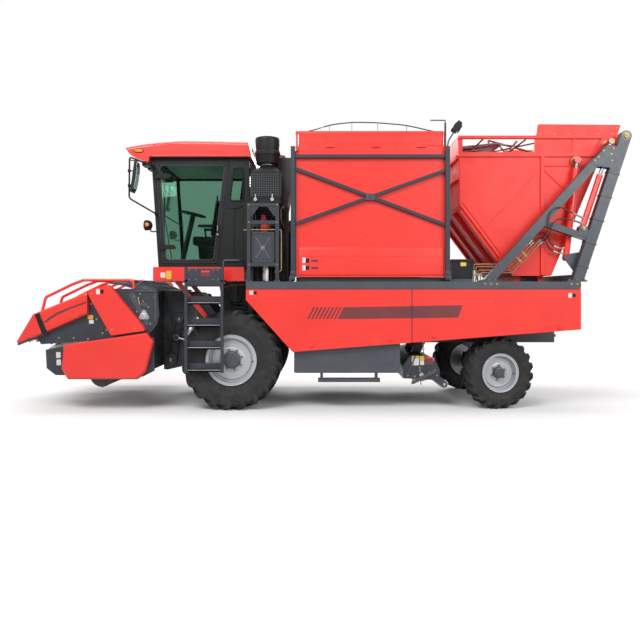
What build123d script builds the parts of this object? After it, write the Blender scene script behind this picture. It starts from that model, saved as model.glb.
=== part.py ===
"""Four-row self-propelled corn harvester with a corn head, a side-tipping ear bin and a rear-tipping silage bin.

Millimetres. The machine drives towards -X, its left side is -Y and +Z is up.
The origin is on the ground, under the middle of the overall length and width.
"""

import math
import os

from build123d import *

# Overall sizes
LENGTH = 8640
WIDTH = 2640
REAR_END = LENGTH / 2
FRONT_END = -LENGTH / 2
HALF_WIDTH = WIDTH / 2
SIDES = (-1, 1)
RUNNING = 0.3
SMALL_GAP = 5

# Wheels: tyre radius, tyre width, flange radius, bead radius, axle place, middle of the tyre
FRONT_R = 705
FRONT_W = 400
FRONT_FLANGE_R = 355
FRONT_BEAD_R = 330
FRONT_X = -1330
FRONT_Y = 995
REAR_R = 512
REAR_W = 290
REAR_FLANGE_R = 274
REAR_BEAD_R = 254
REAR_X = 2425
REAR_Y = 930
KINGPIN_Y = 700
KINGPIN_R = 25
REST_STEER = 10
STEER_ARM = 180
FRONT_SPINDLE_R = 60
FRONT_HUB_R = 115
FRONT_DISC = 90
REAR_SPINDLE_R = 45
REAR_HUB_R = 75
REAR_DISC = 30
HUB_BORE = 20
RIM_PLATE = 12

# Tyre lugs: lugs on each side of the tread, height and thickness as shares of the tyre radius, slant in degrees
LUG_COUNT = 20
LUG_HIGH = 0.055
LUG_WIDE = 0.085
LUG_SLANT = 40

# Chassis and deck
RAIL_X = (-1700, 3480)
RAIL_Y = (350, 420)
RAIL_Z = (900, 1100)
DECK_X = (-1115, 3540)
DECK_Z = (1715, 1810)
DECK_HALF = HALF_WIDTH - 80
BEAM = 80
POST_X = (-1000, 300, 1850, 3300)
HITCH_X = 3560
HITCH_Z = (960, 1000)
HITCH_BORE_R = 20

# Header: pivot on the chassis, row spacing, side plates
PIVOT = (-1980, 1560)
PIVOT_R = 35
HEAD_HALF = HALF_WIDTH - 140
ROW_PITCH = (HEAD_HALF + 20) / 2
ROWS = [place * ROW_PITCH for place in (-1.5, -0.5, 0.5, 1.5)]
DIVIDERS = (-HEAD_HALF, -ROW_PITCH, 0, ROW_PITCH, HEAD_HALF)
HEAD_PLATE = 30
DIVIDER_END = -3310
STALK_ROTOR = (-3150, 500)
STALK_ROTOR_R = 180
AUGER = (-2760, 1330)
AUGER_TUBE_R = 90
AUGER_R = 190
AUGER_PITCH = 420
LIFT_BASE = (-1640, 820)
LIFT_EYE = (-2250, 980)
LIFT_Y = 500

# Cab
CAB_HALF = 820
CAB_FLOOR = 2026
CAB_TOP = 3625
CAB_REAR = -1115
A_FOOT = -2439
A_LEAN = -101 / 1534
B_FOOT = -1595
B_LEAN = 189 / 1574
PILLAR = 60

# Ear bin, which tips to the left on two pins at the feet of its posts
EAR_X = (-421, 1690)
EAR_HALF = 1150
EAR_Z = (1875, 3930)
EAR_WALL = 30
EAR_PIN = (-1200, 1855)
EAR_PIN_R = 20
EAR_POSTS = ((-461, -1), (1702, 1))
FLAP_Z = 3719

# Silage bin, which tips to the rear on the top pins of the mast
SILAGE_HALF = 850
SILAGE_WALL = 25
MAST_Y = (1000, 1120)
MAST_FOOT = (3560, 1810)
MAST_PIN = (4245, 3873)
MAST_PIN_R = 35
MAST_HEAD_R = 75
CRANK_PIN = (4054, 3804)
RAM_BASE = (3458, 2158)
RAM_EYE = (3620, 3563)
RAM_Y = 935
CRANK_BASE = (3642, 2568)
CRANK_Y = 1060
RAM_PIN_R = 25

# Shredder under the belly
SHREDDER = (1370, 480)
SHREDDER_R = 150
SHREDDER_HALF = 1000
ROLLER = (1696, 343)
ROLLER_R = 60


def block(x, y, z, mode=Mode.ADD):
    """A box between two limits on each axis."""
    with Locations(((x[0] + x[1]) / 2, (y[0] + y[1]) / 2, (z[0] + z[1]) / 2)):
        Box(abs(x[1] - x[0]), abs(y[1] - y[0]), abs(z[1] - z[0]), mode=mode)


def plate(points, y_from, y_to, corner=0, mode=Mode.ADD):
    """An outline of (x, z) points, with its corners rounded, carried across the machine from y_from to y_to."""
    with BuildSketch(Plane.XZ.offset(-y_from)) as outline:
        with BuildLine():
            Polyline(*points, close=True)
        make_face()
        if corner:
            fillet(outline.vertices(), corner)
    extrude(outline.sketch, amount=y_from - y_to, mode=mode)


def drum(centre, radius, y_from, y_to, mode=Mode.ADD):
    """A cylinder that lies across the machine."""
    with BuildSketch(Plane.XZ.offset(-y_from)) as disc:
        with Locations(centre):
            Circle(radius)
    extrude(disc.sketch, amount=y_from - y_to, mode=mode)


def bar(start, end, y, deep, mode=Mode.ADD):
    """A straight member between two (x, z) points, between two limits across the machine."""
    run = Vector(end[0] - start[0], 0, end[1] - start[1])
    middle = (y[0] + y[1]) / 2
    with Locations(Plane(origin=(start[0], middle, start[1]), x_dir=(0, 1, 0), z_dir=run)):
        Box(abs(y[1] - y[0]), deep, run.length, align=(Align.CENTER, Align.CENTER, Align.MIN), mode=mode)


def rod(start, end, radius, mode=Mode.ADD):
    """A round bar between two points."""
    run = Vector(*end) - Vector(*start)
    with Locations(Plane(origin=start, z_dir=run)):
        Cylinder(radius, run.length, align=(Align.CENTER, Align.CENTER, Align.MIN), mode=mode)


def pipe(points, radius, bends):
    """A round tube along straight runs joined by arcs."""
    with BuildLine() as route:
        FilletPolyline(*points, radius=bends)
    with BuildSketch(Plane(origin=route.line @ 0, z_dir=route.line % 0)) as section:
        Circle(radius)
    sweep(section.sketch, path=route.line)


def mirrored(pair, side):
    """Two distances from the middle, put on one side of the machine."""
    return tuple(side * value for value in pair)


def along(line, z):
    """The x of a leaning pillar at a height: line is its foot on the cab floor and its lean."""
    return line[0] + (z - CAB_FLOOR) * line[1]


def write(part, name):
    """Labels a finished piece and writes it."""
    part.label = name
    export_step(part, f"parts/{name}.step")


os.makedirs("parts", exist_ok=True)

# Chassis: rails, cross members, posts and outriggers under the deck, header pivot brackets
with BuildPart() as chassis_frame:
    for side in SIDES:
        block(RAIL_X, mirrored(RAIL_Y, side), RAIL_Z)
        for x in POST_X:
            block((x - 40, x + 40), mirrored(RAIL_Y, side), (RAIL_Z[1], DECK_Z[0]))
            block((x - 40, x + 40), mirrored((RAIL_Y[0], DECK_HALF - BEAM), side), (DECK_Z[0] - 80, DECK_Z[0]))
        block((FRONT_X - 90, FRONT_X - 10), mirrored(RAIL_Y, side), (RAIL_Z[1], 1824))
        pivot_bracket = [(-1700, 900), (-1480, 1100), (-1900, 1640), (-2050, 1640), (-2050, 1480), (-1760, 1000)]
        plate(pivot_bracket, side * RAIL_Y[1], side * (RAIL_Y[1] + 50))
        drum(PIVOT, PIVOT_R, side * RAIL_Y[1], side * (RAIL_Y[1] - 70))
        bar(LIFT_BASE, (LIFT_BASE[0] + 100, 1000), mirrored((RAIL_Y[1], RAIL_Y[1] + 30), side), 90)
        drum(LIFT_BASE, RAM_PIN_R, side * RAIL_Y[1], side * (LIFT_Y + 40))
    for x in (-1600, -700, 600, 1900, 3400):
        block((x - 40, x + 40), (-RAIL_Y[0], RAIL_Y[0]), (RAIL_Z[0] + 30, RAIL_Z[1] - 30))
    block((3440, HITCH_X), (-90, 90), HITCH_Z)
    with Locations((HITCH_X, 0, sum(HITCH_Z) / 2)):
        Cylinder(90, HITCH_Z[1] - HITCH_Z[0])
        Cylinder(HITCH_BORE_R, HITCH_Z[1] - HITCH_Z[0], mode=Mode.SUBTRACT)
write(chassis_frame.part, "chassis_frame")

# Deck: the grey edge beams, cross beams and the floor plate that the bins sit over
with BuildPart() as deck:
    for side in SIDES:
        block(DECK_X, mirrored((DECK_HALF - BEAM, DECK_HALF), side), DECK_Z)
    for x in (DECK_X[0] + 30, 300, 1850, DECK_X[1] - 30):
        block((x - 30, x + 30), (BEAM - DECK_HALF, DECK_HALF - BEAM), DECK_Z)
    block(DECK_X, (BEAM - DECK_HALF, DECK_HALF - BEAM), (DECK_Z[1] - 12, DECK_Z[1]))
    block((1790, 2080), (-1100, -700), (DECK_Z[1], DECK_Z[1] + 300))
    for post, out in EAR_POSTS:
        lug = sorted((post + out * 33, post + out * 51))
        plate_y = (EAR_PIN[0] - 30, EAR_PIN[0] + 30)
        block(lug, plate_y, (DECK_Z[1], EAR_PIN[1] + 35))
        rod((post + out * 34, *EAR_PIN), (post - out * 25, *EAR_PIN), EAR_PIN_R)
write(deck.part, "deck")

# Red skirts below the deck beams, each side in two panels with a sloping lower edge
SKIRT_TOP = DECK_Z[0]
SKIRT_SPLIT = 1199
SKIRT_FRONT = [(DECK_X[0], SKIRT_TOP), (DECK_X[0], 1552), (-466, 828)]
SKIRT_REAR_LOW = (3555, 1141)


def skirt_low(x):
    """Height of the skirts' lower edge."""
    start = SKIRT_FRONT[-1]
    return start[1] + (x - start[0]) * (SKIRT_REAR_LOW[1] - start[1]) / (SKIRT_REAR_LOW[0] - start[0])


with BuildPart() as side_skirts:
    for side in SIDES:
        front = SKIRT_FRONT + [(SKIRT_SPLIT - 6, skirt_low(SKIRT_SPLIT - 6)), (SKIRT_SPLIT - 6, SKIRT_TOP)]
        rear = [(SKIRT_SPLIT + 6, SKIRT_TOP), (SKIRT_SPLIT + 6, skirt_low(SKIRT_SPLIT + 6)), SKIRT_REAR_LOW]
        rear.append((SKIRT_REAR_LOW[0], SKIRT_TOP))
        plate(front, side * DECK_HALF, side * (DECK_HALF - 25))
        plate(rear, side * DECK_HALF, side * (DECK_HALF - 25))
write(side_skirts.part, "side_skirts")

# Fuel and oil tanks that hang outside the rails, each with a step below it
with BuildPart() as side_tanks:
    for side in SIDES:
        plate([(-449, 990), (-449, 540), (-430, 524), (1043, 524), (1043, 990)], side * 1150, side * RAIL_Y[1])
        for x in (-60, 715):
            block((x - 20, x + 20), mirrored((1010, 1090), side), (440, 524))
        block((-111, 766), mirrored((990, 1110), side), (390, 440))
write(side_tanks.part, "side_tanks")

# Husking bed between the rails and the engine on the deck, each a plain closed mass
with BuildPart() as husking_bed:
    block((-200, 1750), (-RAIL_Y[0] + 20, RAIL_Y[0] - 20), (RAIL_Z[1] + 20, DECK_Z[0]))
    block((580, 620), (-RAIL_Y[0] + 20, RAIL_Y[0] - 20), (RAIL_Z[1] - 30, RAIL_Z[1] + 20))
write(husking_bed.part, "husking_bed")

with BuildPart() as engine:
    block((-1050, -540), (60, 950), (DECK_Z[1], 2600))
    block((-1050, -560), (950, 1150), (DECK_Z[1], 2900))
write(engine.part, "engine")

# Front drive axle and rear steering axle
with BuildPart() as front_axle:
    centre = (FRONT_X, FRONT_R)
    drum(centre, 120, -640, 640)
    drum(centre, 190, -220, 220)
    for side in SIDES:
        drum(centre, 180, side * 560, side * 770)
        drum(centre, FRONT_SPINDLE_R, side * 770, side * (FRONT_Y + FRONT_DISC + HUB_BORE - 2))
        block((FRONT_X - 120, FRONT_X + 120), mirrored(RAIL_Y, side), (FRONT_R + 60, RAIL_Z[0]))
write(front_axle.part, "front_axle")

with BuildPart() as rear_axle:
    block((REAR_X - 70, REAR_X + 70), (-(KINGPIN_Y - 70), KINGPIN_Y - 70), (430, 594))
    for side in SIDES:
        with Locations((REAR_X, side * KINGPIN_Y, REAR_R)):
            Cylinder(60, 200)
            Cylinder(KINGPIN_R + RUNNING, 200, mode=Mode.SUBTRACT)
        block((REAR_X - 50, REAR_X + 50), mirrored((KINGPIN_Y - 90, KINGPIN_Y - 50), side), (440, 584))
    block((REAR_X - 150, REAR_X + 150), (-RAIL_Y[1], RAIL_Y[1]), (800, RAIL_Z[0]))
    plate([(REAR_X - 120, 800), (REAR_X - 80, 594), (REAR_X + 80, 594), (REAR_X + 120, 800)], -180, 180)
write(rear_axle.part, "rear_axle")


# Wheels: each tyre sits on a rim whose hub turns on a spindle
def wheel_plane(centre):
    """Plane through a wheel's middle: its x is the radius and its y the axle."""
    return Plane(origin=centre, x_dir=(1, 0, 0), z_dir=(0, 0, 1))


def tyre_outline(radius, width, bead, flange):
    """Half section of a tyre's body as (radius, offset) points from one bead to the other."""
    half = width / 2
    lug = radius * LUG_HIGH
    one_side = [(bead + 0.5, half - 34), (flange + 6, half - 34), (bead + 0.45 * (radius - bead), half - 6)]
    one_side += [(radius - 2 * lug, half - 14), (radius - lug, half - 60)]
    return one_side + [(r, -y) for r, y in reversed(one_side)]


def lug_outline(radius, width):
    """Half section that the lugs fill, from the tread over the shoulders and down the sidewalls."""
    half = width / 2
    lug = radius * LUG_HIGH
    one_side = [(radius - 4 * lug, half - 8), (radius - lug, half), (radius, half - 36)]
    return one_side + [(r, -y) for r, y in reversed(one_side)]


def lug_planes(centre, radius, face, phase):
    """One plane for each lug on one side of the tread, square to its radius."""
    planes = []
    for number in range(LUG_COUNT):
        angle = math.radians(270 + phase + number * 360 / LUG_COUNT)
        away = (math.cos(angle), 0, math.sin(angle))
        planes.append(Plane(origin=centre, x_dir=(0, face, 0), z_dir=away).offset(radius * (1 - 4 * LUG_HIGH)))
    return planes


def turned(points, centre, mode=Mode.ADD):
    """A section of (radius, offset) points turned about a wheel's axle."""
    with BuildSketch(wheel_plane(centre)) as section:
        with BuildLine():
            Polyline(*points, close=True)
        make_face()
    revolve(section.sketch, axis=Axis(centre, (0, 1, 0)), mode=mode)


def rim_bands(width, bead, flange, disc, hub, spindle, side):
    """Bands of a rim as (inner radius, outer radius, inboard offset, outboard offset)."""
    half = width / 2
    bands = [
        (bead - RIM_PLATE, bead, 22 - half, half - 22),
        (bead - RIM_PLATE, flange, half - 32, half - 22),
        (bead - RIM_PLATE, flange, 22 - half, 32 - half),
        (hub - 1, bead - RIM_PLATE + 1, disc, disc + RIM_PLATE),
        (spindle + RUNNING, hub, disc - 60, disc + HUB_BORE),
        (0, hub, disc + HUB_BORE, disc + 70),
    ]
    return [(a, b, side * c, side * d) for a, b, c, d in bands]


WHEELS = {
    "front_left": (-1, FRONT_X, FRONT_Y, FRONT_R, FRONT_W, FRONT_BEAD_R, FRONT_FLANGE_R),
    "front_right": (1, FRONT_X, FRONT_Y, FRONT_R, FRONT_W, FRONT_BEAD_R, FRONT_FLANGE_R),
    "rear_left": (-1, REAR_X, REAR_Y, REAR_R, REAR_W, REAR_BEAD_R, REAR_FLANGE_R),
    "rear_right": (1, REAR_X, REAR_Y, REAR_R, REAR_W, REAR_BEAD_R, REAR_FLANGE_R),
}
HUBS = {
    "front": (FRONT_DISC, FRONT_HUB_R, FRONT_SPINDLE_R),
    "rear": (REAR_DISC, REAR_HUB_R, REAR_SPINDLE_R),
}


def kingpin(side):
    """Axis that a rear wheel steers about."""
    return Axis((REAR_X, side * KINGPIN_Y, 0), (0, 0, 1))


for name, (side, x, y, radius, width, bead, flange) in WHEELS.items():
    centre = (x, side * y, radius)
    turn = REST_STEER if name.startswith("rear") else 0
    disc, hub, spindle = HUBS[name.split("_")[0]]
    with BuildPart() as tyre:
        for face in SIDES:
            lean = face * math.tan(math.radians(LUG_SLANT))
            thick = radius * LUG_WIDE / 2
            inner = -0.04 * width
            outer = width / 2 + 10
            corners = [(inner, lean * inner - thick), (outer, lean * outer - thick)]
            corners += [(outer, lean * outer + thick), (inner, lean * inner + thick)]
            phase = 0 if face == side else 180 / LUG_COUNT
            with BuildSketch(*lug_planes(centre, radius, face, phase)) as lugs:
                with BuildLine():
                    Polyline(*corners, close=True)
                make_face()
            extrude(lugs.sketch, amount=radius * 5 * LUG_HIGH)
        turned(lug_outline(radius, width), centre, mode=Mode.INTERSECT)
        turned(tyre_outline(radius, width, bead, flange), centre)
    write(tyre.part.rotate(kingpin(side), turn), f"tyre_{name}")
    with BuildPart() as rim:
        with BuildSketch(wheel_plane(centre)) as section:
            for inner, outer, low, high in rim_bands(width, bead, flange, disc, hub, spindle, side):
                with Locations(((inner + outer) / 2, (low + high) / 2)):
                    Rectangle(outer - inner, abs(high - low))
        revolve(section.sketch, axis=Axis(centre, (0, 1, 0)))
    write(rim.part.rotate(kingpin(side), turn), f"rim_{name}")

# Steering knuckles on the rear kingpins, and the tie rod below their arms
for side, name in ((-1, "knuckle_left"), (1, "knuckle_right")):
    with BuildPart() as knuckle:
        for low in (REAR_R - 142, REAR_R + 102):
            with Locations((REAR_X, side * KINGPIN_Y, low)):
                Cylinder(60, 40, align=(Align.CENTER, Align.CENTER, Align.MIN))
            block((REAR_X - 60, REAR_X + 60), mirrored((KINGPIN_Y, KINGPIN_Y + 100), side), (low, low + 40))
        outer = mirrored((KINGPIN_Y + 70, KINGPIN_Y + 100), side)
        block((REAR_X - 60, REAR_X + 60), outer, (REAR_R - 142, REAR_R + 142))
        with Locations((REAR_X, side * KINGPIN_Y, REAR_R)):
            Cylinder(KINGPIN_R, 280)
        stub_end = REAR_Y + REAR_DISC + HUB_BORE - 2
        drum((REAR_X, REAR_R), REAR_SPINDLE_R, side * (KINGPIN_Y + 100), side * stub_end)
        arm_y = mirrored((KINGPIN_Y - 30, KINGPIN_Y + 30), side)
        block((REAR_X, REAR_X + STEER_ARM + 30), arm_y, (REAR_R - 142, REAR_R - 112))
    write(knuckle.part.rotate(kingpin(side), REST_STEER), name)

with BuildPart() as tie_rod:
    eye_x = REAR_X + STEER_ARM * math.cos(math.radians(REST_STEER))
    eye_y = STEER_ARM * math.sin(math.radians(REST_STEER))
    eye_z = REAR_R - 142.5 - 16
    rod((eye_x, eye_y - KINGPIN_Y, eye_z), (eye_x, eye_y + KINGPIN_Y, eye_z), 14)
    for side in SIDES:
        with Locations((eye_x, eye_y + side * KINGPIN_Y, eye_z)):
            Cylinder(28, 32)
write(tie_rod.part, "tie_rod")

# Cab base: a red tray with the floor on top, and two struts down to the header brackets
A_LINE = (A_FOOT, A_LEAN)
B_LINE = (B_FOOT, B_LEAN)
CAB_BASE_X = (-2498, -1182)
CAB_BASE_Y = 900
CAB_BASE_Z = 1824
SILL = CAB_FLOOR + 50
RAIL = CAB_TOP - 60
with BuildPart() as cab_base:
    block(CAB_BASE_X, (-CAB_BASE_Y, CAB_BASE_Y), (CAB_BASE_Z, CAB_FLOOR))
    offset(amount=-25, openings=cab_base.faces().sort_by(Axis.Z)[0])
    for x in (FRONT_X - 90, FRONT_X - 10):
        block((x - 40, x + 40), (-CAB_BASE_Y + 20, CAB_BASE_Y - 20), (CAB_BASE_Z, CAB_FLOOR - 20))
    for side in SIDES:
        strut = mirrored((RAIL_Y[1] + 50, RAIL_Y[1] + 110), side)
        bar((-2243, CAB_BASE_Z + 10), (-1800, 1292), strut, 70)
        block((-2330, -2150), mirrored((RAIL_Y[1], CAB_BASE_Y - 20), side), (CAB_BASE_Z, CAB_BASE_Z + 40))
write(cab_base.part, "cab_base")

# Cab frame: leaning front pillars, door pillars, rear posts, rails and sills
PILLAR_Y = (CAB_HALF - PILLAR, CAB_HALF)
HINGE_Y = -(CAB_HALF + 20)
HINGE_R = 14
HINGES_Z = (2310, 3340)


def slanted(line, low, high, start, end):
    """Outline between two offsets from a leaning pillar's line."""
    lower = along(line, low)
    upper = along(line, high)
    return [(lower + start, low), (lower + end, low), (upper + end, high), (upper + start, high)]


def hinge_point(z):
    """A point on the door's hinge axis."""
    return (along(A_LINE, z) + 55, HINGE_Y, z)


with BuildPart() as cab_frame:
    for side in SIDES:
        pillar_y = mirrored(PILLAR_Y, side)
        plate(slanted(A_LINE, CAB_FLOOR, CAB_TOP, 0, PILLAR), *pillar_y)
        plate(slanted(B_LINE, CAB_FLOOR, CAB_TOP, 0, 50), *pillar_y)
        block((CAB_REAR - PILLAR, CAB_REAR), pillar_y, (CAB_FLOOR, CAB_TOP))
        for low, high in ((CAB_FLOOR, SILL), (RAIL, CAB_TOP)):
            front = slanted(A_LINE, low, high, 0, PILLAR)
            plate([front[0], (CAB_REAR, low), (CAB_REAR, high), front[3]], *pillar_y)
    for low, high in ((CAB_FLOOR, SILL), (RAIL, CAB_TOP)):
        plate(slanted(A_LINE, low, high, 0, PILLAR), -PILLAR_Y[0], PILLAR_Y[0])
        block((CAB_REAR - PILLAR, CAB_REAR), (-PILLAR_Y[0], PILLAR_Y[0]), (low, high))
    for z in HINGES_Z:
        rod(hinge_point(z + 40.5), hinge_point(z + 90), HINGE_R)
        x = hinge_point(z + 66)[0]
        block((x - 14, x + 4), (HINGE_Y, -CAB_HALF), (z + 46, z + 86))
write(cab_frame.part, "cab_frame")

# Cab rear quarters and back wall, with their windows cut
QUARTER_WINDOW = (3000, 3480)
BACK_WINDOW_Y = 550
BACK_WINDOW_Z = (2700, 3450)


def quarter_window():
    """Outline of the small window behind the door pillar."""
    low, high = QUARTER_WINDOW
    rear = CAB_REAR - PILLAR - 30
    return [(along(B_LINE, low) + 85, low), (rear, low), (rear, high), (along(B_LINE, high) + 85, high)]


with BuildPart() as cab_panels:
    for side in SIDES:
        front = slanted(B_LINE, SILL, RAIL, 50, 50)
        outline = [front[0], (CAB_REAR - PILLAR, SILL), (CAB_REAR - PILLAR, RAIL), front[3]]
        panel_y = mirrored((CAB_HALF - 40, CAB_HALF), side)
        plate(outline, *panel_y)
        plate(quarter_window(), *panel_y, mode=Mode.SUBTRACT)
    block((CAB_REAR - PILLAR, CAB_REAR - 20), (-PILLAR_Y[0], PILLAR_Y[0]), (SILL, RAIL))
    window_y = (-BACK_WINDOW_Y, BACK_WINDOW_Y)
    block((CAB_REAR - PILLAR, CAB_REAR - 20), window_y, BACK_WINDOW_Z, mode=Mode.SUBTRACT)
write(cab_panels.part, "cab_panels")

# Fixed glass: windscreen, right side, quarter windows and back window
GLASS = 10
with BuildPart() as cab_glazing:
    plate(slanted(A_LINE, SILL, RAIL, 20, 20 + GLASS), -PILLAR_Y[0], PILLAR_Y[0])
    front = slanted(A_LINE, SILL, RAIL, PILLAR, PILLAR)
    rear = slanted(B_LINE, SILL, RAIL, 0, 0)
    plate([front[0], rear[0], rear[3], front[3]], CAB_HALF - 30, CAB_HALF - 30 + GLASS)
    for side in SIDES:
        plate(quarter_window(), *mirrored((CAB_HALF - 25, CAB_HALF - 25 + GLASS), side))
    block((CAB_REAR - 45, CAB_REAR - 45 + GLASS), (-BACK_WINDOW_Y, BACK_WINDOW_Y), BACK_WINDOW_Z)
write(cab_glazing.part, "cab_glazing")

# Left door: a frame round one pane, hinged on the front pillar
DOOR_Z = (SILL + 8, RAIL - 8)
DOOR_FRAME = 45
DOOR_Y = (-(CAB_HALF + 5), -(CAB_HALF - 35))


def door_outline(inset):
    """Outline of the door, moved inwards by an inset."""
    low = DOOR_Z[0] + inset
    high = DOOR_Z[1] - inset
    front = slanted(A_LINE, low, high, PILLAR + 6 + inset, 0)
    rear = slanted(B_LINE, low, high, -6 - inset, 0)
    return [front[0], rear[0], rear[3], front[3]]


with BuildPart() as cab_door:
    plate(door_outline(0), *DOOR_Y)
    plate(door_outline(DOOR_FRAME), *DOOR_Y, mode=Mode.SUBTRACT)
    for z in HINGES_Z:
        rod(hinge_point(z - 40), hinge_point(z + 40), HINGE_R)
        x = hinge_point(z)[0]
        block((x, x + 60), (HINGE_Y - 6, DOOR_Y[0]), (z - 36, z + 36))
    x = along(B_LINE, 2560) - 40
    block((x - 15, x + 15), (DOOR_Y[0] - 30, DOOR_Y[0]), (2480, 2640))
write(cab_door.part, "cab_door")

with BuildPart() as door_glass:
    plate(door_outline(DOOR_FRAME), DOOR_Y[0] + 15, DOOR_Y[0] + 15 + GLASS)
write(door_glass.part, "door_glass")

# Cab roof: one moulded cap with a visor at the front
ROOF_HALF = 900
with BuildPart() as cab_roof:
    with BuildSketch(Plane.XZ.offset(ROOF_HALF)) as roof_side:
        with BuildLine():
            ThreePointArc((-2911, 3758), (-2400, 3838), (-1973, 3860))
            Polyline((-1973, 3860), (-1120, 3842), (-1066, 3600), (-1110, CAB_TOP), (-2550, CAB_TOP), (-2570, 3548))
            Polyline((-2570, 3548), (-2720, 3590), (-2831, 3657), (-2911, 3758))
        make_face()
    extrude(roof_side.sketch, amount=-2 * ROOF_HALF)
    fillet(cab_roof.edges().filter_by(GeomType.CIRCLE), 50)
    with Locations((-2290, -620, 3840)):
        Cylinder(45, 80)
write(cab_roof.part, "cab_roof")

# Inside the cab: seat, steering column and side console
with BuildPart() as cab_seat:
    block((-1850, -1560), (-200, 200), (CAB_FLOOR, 2400))
    block((-2060, -1560), (-255, 255), (2400, 2520))
    plate([(-1700, 2520), (-1570, 2520), (-1490, 3080), (-1600, 3100)], -245, 245)
write(cab_seat.part, "cab_seat")

COLUMN_TOP = (-2090, 0, 2900)
COLUMN_FOOT = (-2300, 0, 2000)
with BuildPart() as steering_column:
    rod(COLUMN_FOOT, COLUMN_TOP, 40)
    block((-2370, -2230), (-110, 110), (CAB_FLOOR, 2180))
    with Locations(Plane(origin=COLUMN_TOP, z_dir=Vector(*COLUMN_TOP) - Vector(*COLUMN_FOOT))):
        Torus(190, 15)
        Box(380, 36, 16)
        Box(36, 380, 16)
    block((-2420, -2200), (-130, 130), (1980, CAB_FLOOR), mode=Mode.SUBTRACT)
write(steering_column.part, "steering_column")

with BuildPart() as cab_console:
    plate([(-2050, CAB_FLOOR), (-2080, 2480), (-1980, 2560), (-1450, 2560), (-1450, CAB_FLOOR)], 320, 600)
    rod((-1960, 420, 2540), (-1990, 420, 2720), 14)
write(cab_console.part, "cab_console")

# Mirrors: a bent tube off each front pillar with a mirror head on it
with BuildPart() as mirrors:
    for side in SIDES:
        upper = (along(A_LINE, 3480) + 30, 3480)
        lower = (along(A_LINE, 2800) + 30, 2800)
        corners = [(upper[0], side * CAB_HALF, upper[1]), (upper[0], side * 960, upper[1]), (-2800, side * 1040, 3590)]
        corners += [(-2810, side * 1040, 3000), (lower[0], side * 960, lower[1]), (lower[0], side * CAB_HALF, lower[1])]
        pipe(corners, 12, 40)
        block((-2810, -2775), mirrored((940, 1140), side), (3100, 3530))
write(mirrors.part, "mirrors")

# Lamps: work lamps under the visor and round turn lamps on the front pillars
with BuildPart() as lamps:
    for y in (-700, -400, 400, 700):
        block((-2690, -2590), (y - 90, y + 90), (3470, 3553))
    for side in SIDES:
        x = along(A_LINE, 2640)
        rod((x - 170, side * (CAB_HALF - 25), 2640), (x - 110, side * (CAB_HALF - 25), 2640), 75)
        rod((x - 112, side * (CAB_HALF - 25), 2640), (x - 0.8, side * (CAB_HALF - 25), 2640), 12)
write(lamps.part, "lamps")

# Ladder to the left door: landing beside the cab base, two stringers and the treads
LADDER_X = (-1938, -1439)
LADDER_Y = (-HALF_WIDTH, -1215)
TREADS_Z = (582, 893, 1204, 1515)
with BuildPart() as ladder:
    block((LADDER_X[0] - 12, LADDER_X[1] + 12), (LADDER_Y[0], -CAB_BASE_Y), (1800, 1840))
    for x in LADDER_X:
        block((x - 20, x + 20), (LADDER_Y[0], LADDER_Y[0] + 45), (557, 1990))
    for z in TREADS_Z:
        block(LADDER_X, LADDER_Y, (z - 25, z))
        block(LADDER_X, (LADDER_Y[1] - 12, LADDER_Y[1]), (z, z + 90))
    block(LADDER_X, (LADDER_Y[0], LADDER_Y[0] + 12), (1840, 1990))
write(ladder.part, "ladder")

# Tube stand on the deck behind the cab, the moulded tank in it and the air intake on top
STAND_X = (-1110, -660)
STAND_Y = (-1170, -720)
STAND_TOP = 2916
TUBE = 50
with BuildPart() as tank_stand:
    for x in (STAND_X[0], STAND_X[1] - TUBE):
        for y in (STAND_Y[0], STAND_Y[1] - TUBE):
            block((x, x + TUBE), (y, y + TUBE), (DECK_Z[1], STAND_TOP))
    for z in (2025, STAND_TOP - TUBE):
        block(STAND_X, STAND_Y, (z, z + TUBE))
        inner_x = (STAND_X[0] + TUBE, STAND_X[1] - TUBE)
        block(inner_x, (STAND_Y[0] + TUBE, STAND_Y[1] - TUBE), (z, z + TUBE), mode=Mode.SUBTRACT)
    block(STAND_X, STAND_Y, (2065, 2075))
    for y in (STAND_Y[0], STAND_Y[1] - TUBE):
        block(STAND_X, (y, y + TUBE), (2620, 2620 + TUBE))
write(tank_stand.part, "tank_stand")

with BuildPart() as reserve_tank:
    block((STAND_X[0] + TUBE + 4, STAND_X[1] - TUBE - 4), (STAND_Y[0] + 4, STAND_Y[1] - TUBE - 4), (2075, 2510))
    fillet(reserve_tank.edges().filter_by(Axis.Z), 40)
    with Locations((-980, -950, 2525)):
        Cylinder(55, 40)
write(reserve_tank.part, "reserve_tank")

INTAKE_AXIS = (-842, -925)
with BuildPart() as air_intake:
    block((-1090, -644), (STAND_Y[0], STAND_Y[1]), (STAND_TOP, 3477))
    for z, low_r, high_r, high in ((3477, 110, 110, 90), (3567, 208, 200, 110), (3677, 175, 192, 200)):
        with Locations((INTAKE_AXIS[0], INTAKE_AXIS[1], z)):
            Cone(low_r, high_r + 0.1, high, align=(Align.CENTER, Align.CENTER, Align.MIN))
write(air_intake.part, "air_intake")

# Ear elevator that climbs behind the cab to an inlet in the front wall of the ear bin
ELEVATOR_Y = (-650, -80)
INLET_Z = (3300, 3640)
with BuildPart() as ear_elevator:
    side_view = [(-1080, DECK_Z[1]), (-780, DECK_Z[1]), (-505, 3250), (-505, 3660), (-800, 3660), (-1080, 2050)]
    plate(side_view, *ELEVATOR_Y)
write(ear_elevator.part, "ear_elevator")

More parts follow.
